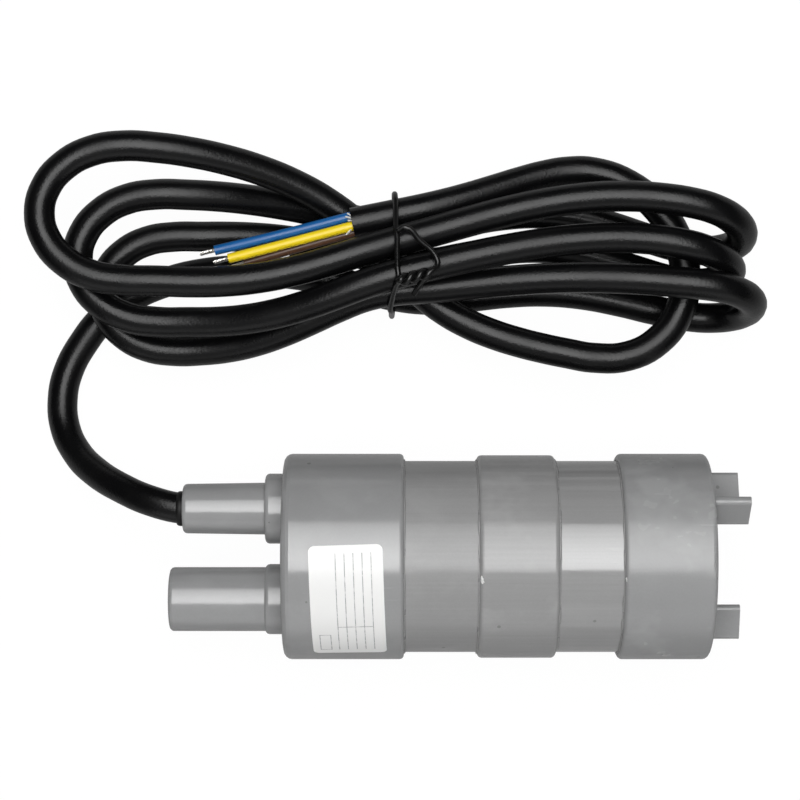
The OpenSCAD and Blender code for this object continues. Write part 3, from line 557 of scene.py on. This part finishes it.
def casing_finish(name, colour, rough, specular, pipe, coat=0.0, smears=0.3):
    """The grey casing: moulded caps or drawn pipe, with glue smears, scuffs and dirt specks."""
    material, tree, shader, at = new_finish(name, rough, specular=specular)
    shader.inputs["Coat Weight"].default_value = coat
    shader.inputs["Coat Roughness"].default_value = 0.06
    mottle = group_node(tree, mottle_group, at, Depth=0.11, Blotch_Scale=75.0, Grain_Scale=2100.0)
    scuffs = group_node(tree, scuff_group, at, Cover=0.45)
    specks = group_node(tree, speck_group, at, Scale=360.0)
    shade = mottle.outputs["Shade"]
    height = mottle.outputs["Grain"]
    if pipe:
        drawn = group_node(tree, drawn_group, at)
        height = math_node(tree, "ADD", height, times(tree, drawn.outputs["Lines"], 0.8))
        lines = range_node(tree, drawn.outputs["Lines"], 0.3, 0.7, 0.97, 1.03)
        shade = times(tree, shade, lines)
    base = shaded(tree, colour, shade)
    pale = [c * 1.25 + 0.02 for c in colour]
    smear_noise = noise_node(tree, stretch_node(tree, at, (90, 110, 110)), 1.0, 3.0, 0.6)
    smear = range_node(tree, smear_noise, 0.50, 0.66, 0.0, smears)
    worn = math_node(tree, "MAXIMUM", smear, times(tree, scuffs.outputs["Mask"], 0.4))
    base = mix_colour(tree, worn, base, pale)
    dirt = times(tree, specks.outputs["Mask"], 0.4)
    base = mix_colour(tree, dirt, base, (0.05, 0.05, 0.05))
    tree.links.new(base, shader.inputs["Base Color"])
    blotchy_roughness(tree, shader, mottle, rough * 0.88, rough * 1.14, worn)
    bump(tree, shader, height, 0.010 * MM)
    return material


def sheath_finish(name, colour, rough, specular=0.5, bump_mm=0.03):
    """Flexible sheath or insulation: a slightly uneven satin skin with dusty rubbed patches."""
    material, tree, shader, at = new_finish(name, rough, specular=specular)
    mottle = group_node(tree, mottle_group, at, Depth=0.18, Blotch_Scale=110.0, Grain_Scale=1800.0)
    scuffs = group_node(tree, scuff_group, at, Cover=0.5, Patch_Scale=110.0)
    base = shaded(tree, colour, mottle.outputs["Shade"])
    rubbed = [c * 1.5 + 0.006 for c in colour]
    worn = mix_colour(tree, times(tree, scuffs.outputs["Mask"], 0.5), base, rubbed)
    tree.links.new(worn, shader.inputs["Base Color"])
    blotchy_roughness(tree, shader, mottle, rough * 0.8, rough * 1.25)
    bump(tree, shader, mottle.outputs["Grain"], bump_mm * MM)
    return material


def metal_finish(name, colour, rough, turned=True, tarnish=0.25):
    """Bare or plated metal with tool rings or grain and a little tarnish."""
    material, tree, shader, at = new_finish(name, rough, 1.0)
    mottle = group_node(tree, mottle_group, at, Depth=0.12, Blotch_Scale=180.0, Grain_Scale=3500.0)
    height = mottle.outputs["Grain"]
    if turned:
        rings = group_node(tree, turned_group, at).outputs["Rings"]
        height = math_node(tree, "ADD", height, times(tree, rings, 1.5))
    base = shaded(tree, colour, mottle.outputs["Shade"])
    dull = [c * 0.55 for c in colour]
    stained = range_node(tree, mottle.outputs["Blotch"], 0.5, 0.75, 0.0, tarnish)
    tree.links.new(mix_colour(tree, stained, base, dull), shader.inputs["Base Color"])
    blotchy_roughness(tree, shader, mottle, rough * 0.8, rough * 1.4)
    bump(tree, shader, height, 0.008 * MM)
    return material


def layered_finish(name, colour, rough, pitch, metallic, along):
    """Stacked laminations or wound wire: fine lines across one axis, from a wave."""
    material, tree, shader, at = new_finish(name, rough, metallic)
    wave = tree.nodes.new("ShaderNodeTexWave")
    wave.bands_direction = along
    wave.inputs["Scale"].default_value = 1.0 / (pitch * MM) / 20.0
    wave.inputs["Distortion"].default_value = 0.4
    wave.inputs["Detail"].default_value = 1.0
    tree.links.new(at, wave.inputs["Vector"])
    mottle = group_node(tree, mottle_group, at, Depth=0.15, Blotch_Scale=300.0)
    lines = range_node(tree, wave.outputs["Fac"], 0.0, 1.0, 0.6, 1.1)
    shade = times(tree, lines, mottle.outputs["Shade"])
    tree.links.new(shaded(tree, colour, shade), shader.inputs["Base Color"])
    blotchy_roughness(tree, shader, mottle, rough * 0.8, rough * 1.2)
    bump(tree, shader, wave.outputs["Fac"], 0.05 * MM)
    return material


def sticker_finish(name, paper, ink):
    """Satin white sticker with an empty ruled form, on the sticker's own UV map."""
    material, tree, shader, at = new_finish(name, 0.38)
    where = tree.nodes.new("ShaderNodeUVMap")
    where.uv_map = "UVMap"
    split = tree.nodes.new("ShaderNodeSeparateXYZ")
    tree.links.new(where.outputs["UV"], split.inputs[0])
    u, v = split.outputs["X"], split.outputs["Y"]

    def between(value, low, high):
        above = math_node(tree, "GREATER_THAN", value, low)
        return times(tree, above, math_node(tree, "LESS_THAN", value, high))

    def stripe(value, middle, width):
        return between(value, middle - width / 2, middle + width / 2)

    rules = (0.36, 0.48, 0.60, 0.72, 0.84)
    ruled = None
    for middle in rules:
        line = times(tree, stripe(u, middle, 0.012), between(v, 0.06, 0.94))
        ruled = line if ruled is None else math_node(tree, "MAXIMUM", ruled, line)
    column = times(tree, stripe(v, 0.34, 0.006), between(u, rules[0], rules[-1]))
    box_out = times(tree, between(u, 0.10, 0.26), between(v, 0.06, 0.26))
    box_in = times(tree, between(u, 0.112, 0.248), between(v, 0.066, 0.254))
    box_line = math_node(tree, "SUBTRACT", box_out, box_in)
    ruled = math_node(tree, "MAXIMUM", math_node(tree, "MAXIMUM", ruled, column), box_line)
    worn = noise_node(tree, at, 900.0, 3.0, 0.6)
    ruled = times(tree, ruled, range_node(tree, worn, 0.35, 0.55, 0.35, 0.8))
    mottle = group_node(tree, mottle_group, at, Depth=0.03, Blotch_Scale=120.0)
    base = shaded(tree, paper, mottle.outputs["Shade"])
    tree.links.new(mix_colour(tree, ruled, base, ink), shader.inputs["Base Color"])
    blotchy_roughness(tree, shader, mottle, 0.30, 0.45)
    bump(tree, shader, mottle.outputs["Blotch"], 0.03 * MM)
    return material


def glue_finish(name, colour):
    """Dried pipe cement: pale, uneven and a little glossy."""
    material, tree, shader, at = new_finish(name, 0.3)
    mottle = group_node(tree, mottle_group, at, Depth=0.3, Blotch_Scale=420.0)
    tree.links.new(shaded(tree, colour, mottle.outputs["Shade"]), shader.inputs["Base Color"])
    blotchy_roughness(tree, shader, mottle, 0.2, 0.5)
    bump(tree, shader, mottle.outputs["Grain"], 0.05 * MM)
    return material


# What a user would change


def colour_prop(name, description, default):
    return bpy.props.FloatVectorProperty(
        name=name, description=description, default=default, min=0.0, max=1.0, size=3, subtype="COLOR"
    )


def length_prop(name, description, default):
    return bpy.props.FloatProperty(
        name=name,
        description=description,
        default=default,
        min=0.0,
        unit="LENGTH",
        subtype="DISTANCE",
        precision=5,
    )


def power_prop(name, description, default):
    return bpy.props.FloatProperty(name=name, description=description, default=default, unit="POWER")


class PumpFlexSettings(bpy.types.PropertyGroup):
    """Sizes and colours of the flex, its cores and its tie."""

    sheath_d: length_prop("Sheath", "Diameter of the flex", 6.5 * MM)
    length: length_prop("Length", "Length of the flex from the sleeve to its cut end", 1.255)
    core_d: length_prop("Core", "Diameter of an insulated core", 2.1 * MM)
    strand_d: length_prop("Strand", "Diameter of one tinned strand", 0.30 * MM)
    tie_d: length_prop("Tie", "Diameter of the tie wire", 1.2 * MM)
    sheath: colour_prop("Sheath colour", "Colour of the flex", (0.003, 0.003, 0.0033))
    tie: colour_prop("Tie colour", "Colour of the tie wire", (0.003, 0.003, 0.003))
    blue: colour_prop("Blue", "Colour of the blue core", (0.006, 0.105, 0.33))
    yellow: colour_prop("Yellow", "Colour of the yellow core", (0.90, 0.67, 0.010))
    brown: colour_prop("Brown", "Colour of the brown core", (0.110, 0.052, 0.028))
    thread: colour_prop("Filler", "Colour of the filler threads", (0.72, 0.71, 0.68))
    tinned: colour_prop("Tinned", "Colour of the bare strands", (0.86, 0.84, 0.80))


class PumpCasingSettings(bpy.types.PropertyGroup):
    """Colours of the casing and the sizes of what is stuck on it."""

    cap: colour_prop("Caps", "Colour of the two moulded caps", (0.300, 0.302, 0.304))
    pipe: colour_prop("Pipe", "Colour of the drawn pipe", (0.302, 0.302, 0.302))
    paper: colour_prop("Sticker", "Colour of the sticker", (0.90, 0.90, 0.89))
    ink: colour_prop("Rules", "Colour of the sticker's ruled lines", (0.22, 0.22, 0.23))
    sticker_t: length_prop("Sticker thickness", "Thickness of the sticker", 0.12 * MM)
    sticker_round: length_prop("Sticker corners", "Radius of the sticker's corners", 1.2 * MM)
    sticker_tilt: bpy.props.FloatProperty(
        name="Sticker tilt",
        description="How far the sticker is off straight",
        default=math.radians(1.8),
        subtype="ANGLE",
    )
    glue: colour_prop("Glue", "Colour of the dried pipe cement", (0.30, 0.30, 0.30))
    bead_r: length_prop("Bead", "Radius of a glue bead at a joint", 0.30 * MM)


class PumpStageSettings(bpy.types.PropertyGroup):
    """The camera, the light and the floor."""

    camera_at: bpy.props.FloatVectorProperty(
        name="Camera",
        description="Place of the camera",
        default=(-0.0118, 0.0328, 0.5105),
        size=3,
        subtype="TRANSLATION",
    )
    lens: bpy.props.FloatProperty(
        name="Lens", description="Focal length in millimetres", default=104.787, unit="CAMERA"
    )
    softbox: power_prop("Softbox", "Power of the overhead softbox", 2.9)
    key: power_prop("Key", "Power of the broad key light", 1.6)
    fill: power_prop("Fill", "Power of the low fill light", 2.3)
    air: bpy.props.FloatProperty(
        name="Room", description="Strength of the room's own light", default=0.02, min=0.0
    )
    floor: colour_prop("Floor", "Colour of the floor", (0.26, 0.26, 0.26))


# Operators


class PUMP_OT_stage(bpy.types.Operator):
    """Add the camera, the lights and the floor"""

    bl_idname = "pump.stage"
    bl_label = "Stage"

    def execute(self, context):
        stage = context.scene.pump_stage
        scene = context.scene
        scene.view_settings.view_transform = "Standard"
        camera = bpy.data.cameras.new("camera")
        camera.lens = stage.lens
        camera.sensor_width = 36.0
        camera.clip_start = 0.01
        eye = bpy.data.objects.new("camera", camera)
        eye.location = stage.camera_at
        scene.collection.objects.link(eye)
        scene.camera = eye
        self.lamp("softbox", (0.0, 0.24, 0.75), (0.0, 0.24, 0.0), 0.54, 0.80, stage.softbox, 110)
        self.lamp("key", (0.0, -0.55, 0.85), (0.0, 0.0, 0.02), 1.6, 0.9, stage.key)
        self.lamp("fill", (0.0, -0.95, 0.30), (0.0, 0.0, 0.02), 1.6, 0.6, stage.fill)
        self.room(scene, stage.air)
        self.floor(stage.floor)
        return {"FINISHED"}

    def lamp(self, name, at, towards, width, height, power, spread=180):
        light = bpy.data.lights.new(name, "AREA")
        light.shape = "RECTANGLE"
        light.size = width
        light.size_y = height
        light.energy = power
        light.spread = math.radians(spread)
        obj = bpy.data.objects.new(name, light)
        obj.location = at
        obj.rotation_euler = (Vector(towards) - Vector(at)).to_track_quat("-Z", "Y").to_euler()
        bpy.context.scene.collection.objects.link(obj)

    def room(self, scene, strength):
        world = bpy.data.worlds.new("room")
        world.use_nodes = True
        backdrop = world.node_tree.nodes["Background"]
        backdrop.inputs["Color"].default_value = (1.0, 1.0, 1.0, 1.0)
        backdrop.inputs["Strength"].default_value = strength
        scene.world = world

    def floor(self, colour):
        clear_selection()
        bpy.ops.mesh.primitive_plane_add(size=FLOOR_SIZE, location=(0, 0, -FLOOR_DROP))
        floor = named("floor")
        settle(floor)
        material = bpy.data.materials.new("pale_floor")
        material.use_nodes = True
        tree = material.node_tree
        out = tree.nodes["Material Output"]
        tree.nodes.remove(tree.nodes["Principled BSDF"])
        paper = tree.nodes.new("ShaderNodeBsdfDiffuse")
        paper.inputs["Color"].default_value = (*colour, 1.0)
        white = tree.nodes.new("ShaderNodeEmission")
        white.inputs["Strength"].default_value = GLOW
        path = tree.nodes.new("ShaderNodeLightPath")
        mirrored = times(tree, path.outputs["Is Glossy Ray"], GLOW_MIRRORED)
        seen = math_node(tree, "MAXIMUM", path.outputs["Is Camera Ray"], mirrored)
        seen = math_node(tree, "MAXIMUM", seen, path.outputs["Is Transmission Ray"])
        mix = tree.nodes.new("ShaderNodeMixShader")
        tree.links.new(times(tree, seen, GLOW_SEEN), mix.inputs[0])
        tree.links.new(paper.outputs[0], mix.inputs[1])
        tree.links.new(white.outputs[0], mix.inputs[2])
        tree.links.new(mix.outputs[0], out.inputs["Surface"])
        floor.data.materials.append(material)


class PUMP_OT_flex(bpy.types.Operator):
    """Lay the flex from the sleeve through the hank to its cut end"""

    bl_idname = "pump.flex"
    bl_label = "Flex"

    def execute(self, context):
        settings = context.scene.pump_flex
        diameter = settings.sheath_d / MM
        flex = wire_curve("flex", flex_route(diameter), diameter, sides=7, resolution=5)
        put_on(flex, sheath_finish("flex_sheath", settings.sheath, 0.27, 0.3, 0.045))
        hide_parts("cable_lead", "cable_hank")
        return {"FINISHED"}


class PUMP_OT_cores(bpy.types.Operator):
    """Add the three bared cores with their tinned strands"""

    bl_idname = "pump.cores"
    bl_label = "Cores and strands"

    def execute(self, context):
        settings = context.scene.pump_flex
        # Each core's place on the cut end, lean, length and sag
        rows = (
            ("blue", settings.blue, ((1.4, 0.4), 0.6, 29.5, 0.6)),
            ("yellow", settings.yellow, ((-0.7, 1.2), 0.2, 27.0, 0.4)),
            ("brown", settings.brown, ((-1.9, -0.9), -0.2, 24.0, 0.8)),
        )
        strands = []
        for colour, shade, route in rows:
            points = core_route(*route)
            core = to_mesh(wire_curve(f"{colour}_core", points, settings.core_d / MM, sides=5, resolution=6))
            self.open_end(core, points)
            smooth_faces(core)
            put_on(core, sheath_finish(f"{colour}_insulation", shade, 0.32, 0.5, 0.02))
            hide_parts(f"core_{colour}")
            strands += self.strands(colour, points, settings.strand_d / MM)
        self.filler(core_route((0.3, 1.9), 0.0, 1.0, 0.0)[0], settings.thread)
        bundle = join("tinned_strands", strands)
        smooth_faces(bundle)
        put_on(bundle, metal_finish("tinned_copper", settings.tinned, 0.3, turned=False))
        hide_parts("wire_ends")
        return {"FINISHED"}

    def filler(self, at, colour):
        """Torn ends of the filler threads between the cores, where the sheath is cut."""
        ends = ((0.9, 1.6, 0.3), (1.3, 0.9, 0.5), (0.7, -2.3, 0.1), (1.2, -2.8, -0.4), (0.8, 0.1, 0.7))
        threads = []
        for i, (reach, across, up) in enumerate(ends):
            root = at + Vector((0.3, 0.55 * across, 0.4 * up - 0.4))
            tip = at + Vector((-reach, across, up - 0.3))
            route = [root, root.lerp(tip, 0.5) + Vector((0, 0, 0.25)), tip]
            threads.append(to_mesh(wire_curve(f"thread_{i}", route, 0.34, sides=2, resolution=3)))
        filler = join("filler_threads", threads)
        smooth_faces(filler)
        put_on(filler, moulded_finish("cotton_filler", colour, 0.8, 0.12, 0.2, 0.05, 600.0))

    def open_end(self, core, points):
        """Sinks the middle of a core's cut end, so that its insulation has a rim."""
        tip, ahead = points[-1] * MM, (points[-1] - points[-2]).normalized()
        only(core)
        set_mode("EDIT")
        bpy.ops.mesh.select_mode(type="FACE")
        bpy.ops.mesh.select_all(action="DESELECT")
        set_mode("OBJECT")
        for face in core.data.polygons:
            face.select = (face.center - tip).length < 0.3 * MM and face.normal.dot(ahead) > 0.8
        set_mode("EDIT")
        bpy.ops.mesh.inset(thickness=0.35 * MM, depth=0.0)
        bpy.ops.mesh.inset(thickness=0.0, depth=-0.5 * MM)
        set_mode("OBJECT")

    def strands(self, colour, points, diameter):
        """Six fine strands twisted round a seventh, fanning a little at their tips."""
        ahead = (points[-1] - points[-2]).normalized()
        side = ahead.cross(Vector((0, 0, 1))).normalized()
        up = side.cross(ahead)
        made = []
        for i in range(STRANDS):
            reach = STRAND_LEN - 0.12 * ((i * 3) % 5)
            route = []
            for j in range(STRAND_STEPS + 1):
                t = j / STRAND_STEPS
                spread = 0.0 if i == STRANDS - 1 else (0.85 + 0.25 * t) * diameter
                a = math.radians(60 * i + STRAND_TWIST * t)
                at = points[-1] + (reach * t - STRAND_SUNK) * ahead
                out = spread * (math.cos(a) * side + math.sin(a) * up)
                route.append(at + out - Vector((0, 0, STRAND_SAG * t * t)))
            made.append(to_mesh(wire_curve(f"{colour}_strand_{i}", route, diameter, sides=2, resolution=3)))
        return made


class PUMP_OT_tie(bpy.types.Operator):
    """Wind the tie wire round the hank and twist its ends"""

    bl_idname = "pump.tie"
    bl_label = "Tie"

    def execute(self, context):
        settings = context.scene.pump_flex
        route = tie_route(settings.sheath_d / MM, settings.tie_d / MM)
        tie = to_mesh(wire_curve("tie_wire", route, settings.tie_d / MM, sides=3, resolution=4))
        smooth_faces(tie)
        put_on(tie, sheath_finish("tie_cover", settings.tie, 0.28, 0.5))
        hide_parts("hank_tie")
        return {"FINISHED"}


class PUMP_OT_declare(bpy.types.Operator):
    bl_idname = "pump.declare"
    bl_label = "Declare the cord"

    def execute(self, context):
        return {"FINISHED"}


class PUMP_OT_sticker(bpy.types.Operator):
    """Cut the sticker, round its corners and wrap it on the outlet cap"""

    bl_idname = "pump.sticker"
    bl_label = "Sticker"

    def execute(self, context):
        casing = context.scene.pump_casing
        width = LABEL_HIGH.x - LABEL_LOW.x
        radius = CAP_R + STICKER_GAP
        first = math.atan2(LABEL_HIGH.z - AXIS_Z, LABEL_HIGH.y)
        last = math.atan2(LABEL_LOW.z - AXIS_Z, LABEL_LOW.y)
        tall = radius * (last - first)
        clear_selection()
        bpy.ops.mesh.primitive_plane_add(size=1.0, calc_uvs=True)
        sticker = named("rating_sticker")
        sticker.scale = (width, tall, 1.0)
        settle(sticker)
        set_mode("EDIT")
        bpy.ops.mesh.select_all(action="SELECT")
        bpy.ops.mesh.bevel(offset=casing.sticker_round, segments=6, affect="VERTICES")
        bpy.ops.transform.rotate(value=-casing.sticker_tilt, orient_axis="Z", center_override=(0, 0, 0))
        set_mode("OBJECT")
        sticker.rotation_euler = (math.radians(90), 0, 0)
        settle(sticker)
        height = self.slice(sticker, STICKER_STRIPS)
        thick = sticker.modifiers.new("thick", "SOLIDIFY")
        thick.thickness = casing.sticker_t
        thick.offset = 1.0
        wrap = sticker.modifiers.new("wrap", "SIMPLE_DEFORM")
        wrap.deform_method = "BEND"
        wrap.deform_axis = "X"
        wrap.angle = height / radius
        apply_modifiers(sticker)
        middle = (first + last) / 2
        for v in sticker.data.vertices:
            v.co.y -= radius
        sticker.rotation_euler = (middle - math.pi, 0, 0)
        sticker.location = ((LABEL_LOW.x + LABEL_HIGH.x) / 2, 0, AXIS_Z)
        settle(sticker)
        smooth_faces(sticker, 30)
        put_on(sticker, sticker_finish("sticker_vinyl", casing.paper, casing.ink))
        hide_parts("rating_label")
        return {"FINISHED"}

    def slice(self, obj, count):
        """Cuts a flat sheet into strips along Z, so that it can be wrapped, and returns its height."""
        low = min(v.co.z for v in obj.data.vertices)
        high = max(v.co.z for v in obj.data.vertices)
        only(obj)
        set_mode("EDIT")
        for i in range(1, count):
            bpy.ops.mesh.select_all(action="SELECT")
            bpy.ops.mesh.bisect(plane_co=(0, 0, low + (high - low) * i / count), plane_no=(0, 0, 1))
        set_mode("OBJECT")
        return high - low


class PUMP_OT_glue(bpy.types.Operator):
    """Add the beads of pipe cement at the joints, two flakes of it and the flex's sealing ring"""

    bl_idname = "pump.glue"
    bl_label = "Glue and sealant"

    def execute(self, context):
        casing = context.scene.pump_casing
        joints = (
            ("outlet_joint", CAP_HIGH.x, 1),
            ("collar_rear_joint", COLLAR_LOW.x, -1),
            ("collar_front_joint", COLLAR_HIGH.x, 1),
            ("inlet_joint", INLET_LOW.x, -1),
        )
        cement = glue_finish("pipe_cement", casing.glue)
        for name, x, side in joints:
            bead = self.bead(name, x + side * 0.05 * MM, casing.bead_r)
            put_on(bead, cement)
        flakes = glue_finish("cement_flake", (0.75, 0.75, 0.74))
        spots = (
            ("collar_flake", COLLAR_LOW.x + 0.5 * MM, 1.1),
            ("inlet_flake", INLET_LOW.x + 0.3 * MM, 0.7),
        )
        for name, x, size in spots:
            put_on(self.flake(name, x, FLAKE_Y, FLAKE_R, size), flakes)
        rubber = moulded_finish("sealing_rubber", (0.006, 0.006, 0.006), 0.5, 0.15, 0.3, 0.03, 200.0)
        put_on(self.sealing_ring(context.scene.pump_flex.sheath_d / 2), rubber)
        return {"FINISHED"}

    def sealing_ring(self, flex_r):
        """The black ring that closes the sleeve round the flex and stands out of it a little."""
        at = (SLEEVE_X - 0.45 * MM, SLEEVE_Y, AXIS_Z)
        ring = self.ring("sealing_ring", at, flex_r + 0.02 * MM, 0.42 * MM, 64, 14)
        ring.scale = (1.0, 1.0, 2.0)
        settle(ring)
        smooth_faces(ring, 180)
        return ring

    def bead(self, name, x, thickness):
        """A thin uneven ring of glue in the corner between a tube and a socket."""
        bead = self.ring(name, (x, 0, AXIS_Z), TUBE_R + 0.12 * MM, thickness, 160, 8)
        settle(bead)
        self.roughen(bead, 3.5 * MM, 0.55 * MM, 0.62)
        smooth_faces(bead, 180)
        return bead

    def ring(self, name, at, radius, thickness, segments, sides):
        """A ring round an axis along X."""
        clear_selection()
        bpy.ops.mesh.primitive_torus_add(
            major_segments=segments,
            minor_segments=sides,
            major_radius=radius,
            minor_radius=thickness,
            location=at,
            rotation=(0, math.radians(90), 0),
        )
        return named(name)

    def roughen(self, obj, lump, strength, mid_level):
        """Moves a mesh in and out in lumps of one size, as dried glue has."""
        lumps = bpy.data.textures.new(obj.name + "_lumps", "CLOUDS")
        lumps.noise_scale = lump
        swell = obj.modifiers.new("swell", "DISPLACE")
        swell.texture = lumps
        swell.texture_coords = "LOCAL"
        swell.strength = strength
        swell.mid_level = mid_level
        apply_modifiers(obj)

    def flake(self, name, x, y, radius, size):
        """A torn crumb of dried glue that stands on the casing."""
        angle = math.acos(y / radius)
        clear_selection()
        bpy.ops.mesh.primitive_ico_sphere_add(subdivisions=3, radius=0.5 * MM * size)
        flake = named(name)
        flake.scale = (0.75, 1.7, 0.55)
        flake.rotation_euler = (angle - math.pi / 2, 0, 0.25)
        flake.location = (x, radius * math.cos(angle), AXIS_Z + radius * math.sin(angle))
        settle(flake)
        self.roughen(flake, 0.6 * MM, 0.7 * MM * size, 0.55)
        smooth_faces(flake, 50)
        return flake


class PUMP_OT_casing(bpy.types.Operator):
    """Give the casing's five solids their grey plastic finishes"""

    bl_idname = "pump.casing"
    bl_label = "Casing finishes"

    def execute(self, context):
        casing = context.scene.pump_casing
        finishes = (
            ("outlet_cap", casing_finish("outlet_cap_plastic", casing.cap, 0.16, 0.72, False, smears=0.2)),
            ("rear_tube", casing_finish("rear_pipe", casing.pipe, 0.18, 0.34, True, smears=0.2)),
            ("coupling_collar", casing_finish("collar_plastic", casing.pipe, 0.15, 0.54, True, smears=0.45)),
            ("front_tube", casing_finish("front_pipe", casing.pipe, 0.12, 0.75, True, coat=0.25, smears=0.1)),
            ("inlet_cap", casing_finish("inlet_cap_plastic", casing.cap, 0.21, 0.5, False, smears=0.5)),
        )
        for node, material in finishes:
            dress(node, material)
        return {"FINISHED"}


class PUMP_OT_inside(bpy.types.Operator):
    """Give the motor, the pod and the impeller their finishes"""

    bl_idname = "pump.inside"
    bl_label = "Inside finishes"

    def execute(self, context):
        flex = context.scene.pump_flex
        black = moulded_finish("pod_plastic", (0.012, 0.012, 0.013), 0.42)
        rubber = moulded_finish("seal_rubber_skin", (0.010, 0.010, 0.010), 0.62, 0.15, 0.3, 0.03, 200.0)
        amber = moulded_finish("potting_resin", (0.28, 0.11, 0.018), 0.2, 0.2, 0.5, 0.02, 250.0)
        ivory = moulded_finish("bell_plastic", (0.72, 0.66, 0.51), 0.4)
        white = moulded_finish("impeller_plastic", (0.78, 0.78, 0.75), 0.35)
        ferrite = moulded_finish("ground_ferrite", (0.018, 0.018, 0.020), 0.5, 0.25, 0.5, 0.04, 300.0)
        carbon = moulded_finish("pressed_carbon", (0.012, 0.012, 0.012), 0.55, 0.25, 0.5, 0.03, 400.0)
        zinc = metal_finish("zinc_plated_can", (0.62, 0.61, 0.57), 0.32)
        steel = metal_finish("ground_steel", (0.60, 0.60, 0.61), 0.22)
        bronze = metal_finish("sintered_bronze", (0.42, 0.26, 0.10), 0.45, turned=False)
        brass = metal_finish("stamped_brass", (0.66, 0.45, 0.16), 0.28, turned=False)
        copper = metal_finish("commutator_copper", (0.66, 0.28, 0.13), 0.25)
        stack = layered_finish("lamination_stack", (0.13, 0.135, 0.14), 0.45, 0.5, 0.8, "X")
        winding = layered_finish("enamelled_winding", (0.42, 0.13, 0.04), 0.3, 0.35, 0.6, "Y")
        rows = (
            (black, ("motor_pod", "pod_cover", "commutator_hub")),
            (rubber, ("cover_gasket", "cable_grommet", "shaft_seal")),
            (amber, ("cable_potting",)),
            (bpy.data.materials["flex_sheath"], ("cable_inner",)),
            (ivory, ("end_bell", "thrust_washers")),
            (white, ("impeller",)),
            (ferrite, ("motor_magnets",)),
            (carbon, ("brushes",)),
            (zinc, ("motor_can",)),
            (steel, ("motor_shaft", "motor_screws")),
            (bronze, ("front_bush", "rear_bush")),
            (brass, ("brush_arms", "terminals")),
            (copper, ("commutator_bars",)),
            (stack, ("armature_core",)),
            (winding, ("armature_coils",)),
            (bpy.data.materials["brown_insulation"], ("lead_live",)),
            (bpy.data.materials["blue_insulation"], ("lead_return",)),
            (bpy.data.materials["yellow_insulation"], ("lead_earth",)),
        )
        for material, nodes in rows:
            for node in nodes:
                dress(node, material)
        return {"FINISHED"}


def dress(node, material):
    """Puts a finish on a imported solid, in place of the plain one that it came with."""
    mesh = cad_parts[node].data
    mesh.materials.clear()
    mesh.materials.append(material)


class PUMP_PT_panel(bpy.types.Panel):
    """Lists the pieces in the order in which they are made"""

    bl_idname = "PUMP_PT_panel"
    bl_label = "Caravan pump"
    bl_space_type = "VIEW_3D"
    bl_region_type = "UI"
    bl_category = "Pump"

    def draw(self, context):
        layout = self.layout
        for title, settings in (
            ("Stage", context.scene.pump_stage),
            ("Flex", context.scene.pump_flex),
            ("Casing", context.scene.pump_casing),
        ):
            box = layout.box()
            box.label(text=title)
            for name in settings.__annotations__:
                box.prop(settings, name)
        for operator in OPERATORS:
            layout.operator(operator.bl_idname)


OPERATORS = (
    PUMP_OT_stage,
    PUMP_OT_flex,
    PUMP_OT_cores,
    PUMP_OT_tie,
    PUMP_OT_declare,
    PUMP_OT_sticker,
    PUMP_OT_glue,
    PUMP_OT_casing,
    PUMP_OT_inside,
)
SETTINGS = (PumpFlexSettings, PumpCasingSettings, PumpStageSettings)


def register():
    for cls in (*SETTINGS, *OPERATORS, PUMP_PT_panel):
        bpy.utils.register_class(cls)
    bpy.types.Scene.pump_flex = bpy.props.PointerProperty(type=PumpFlexSettings)
    bpy.types.Scene.pump_casing = bpy.props.PointerProperty(type=PumpCasingSettings)
    bpy.types.Scene.pump_stage = bpy.props.PointerProperty(type=PumpStageSettings)


def unregister():
    del bpy.types.Scene.pump_stage
    del bpy.types.Scene.pump_casing
    del bpy.types.Scene.pump_flex
    for cls in reversed((*SETTINGS, *OPERATORS, PUMP_PT_panel)):
        bpy.utils.unregister_class(cls)


def main():
    register()
    bpy.ops.pump.stage()
    bpy.ops.pump.flex()
    bpy.ops.pump.cores()
    bpy.ops.pump.tie()
    bpy.ops.pump.declare()
    bpy.ops.pump.sticker()
    bpy.ops.pump.glue()
    bpy.ops.pump.casing()
    bpy.ops.pump.inside()
    clear_selection()


if __name__ == "__main__":
    main()
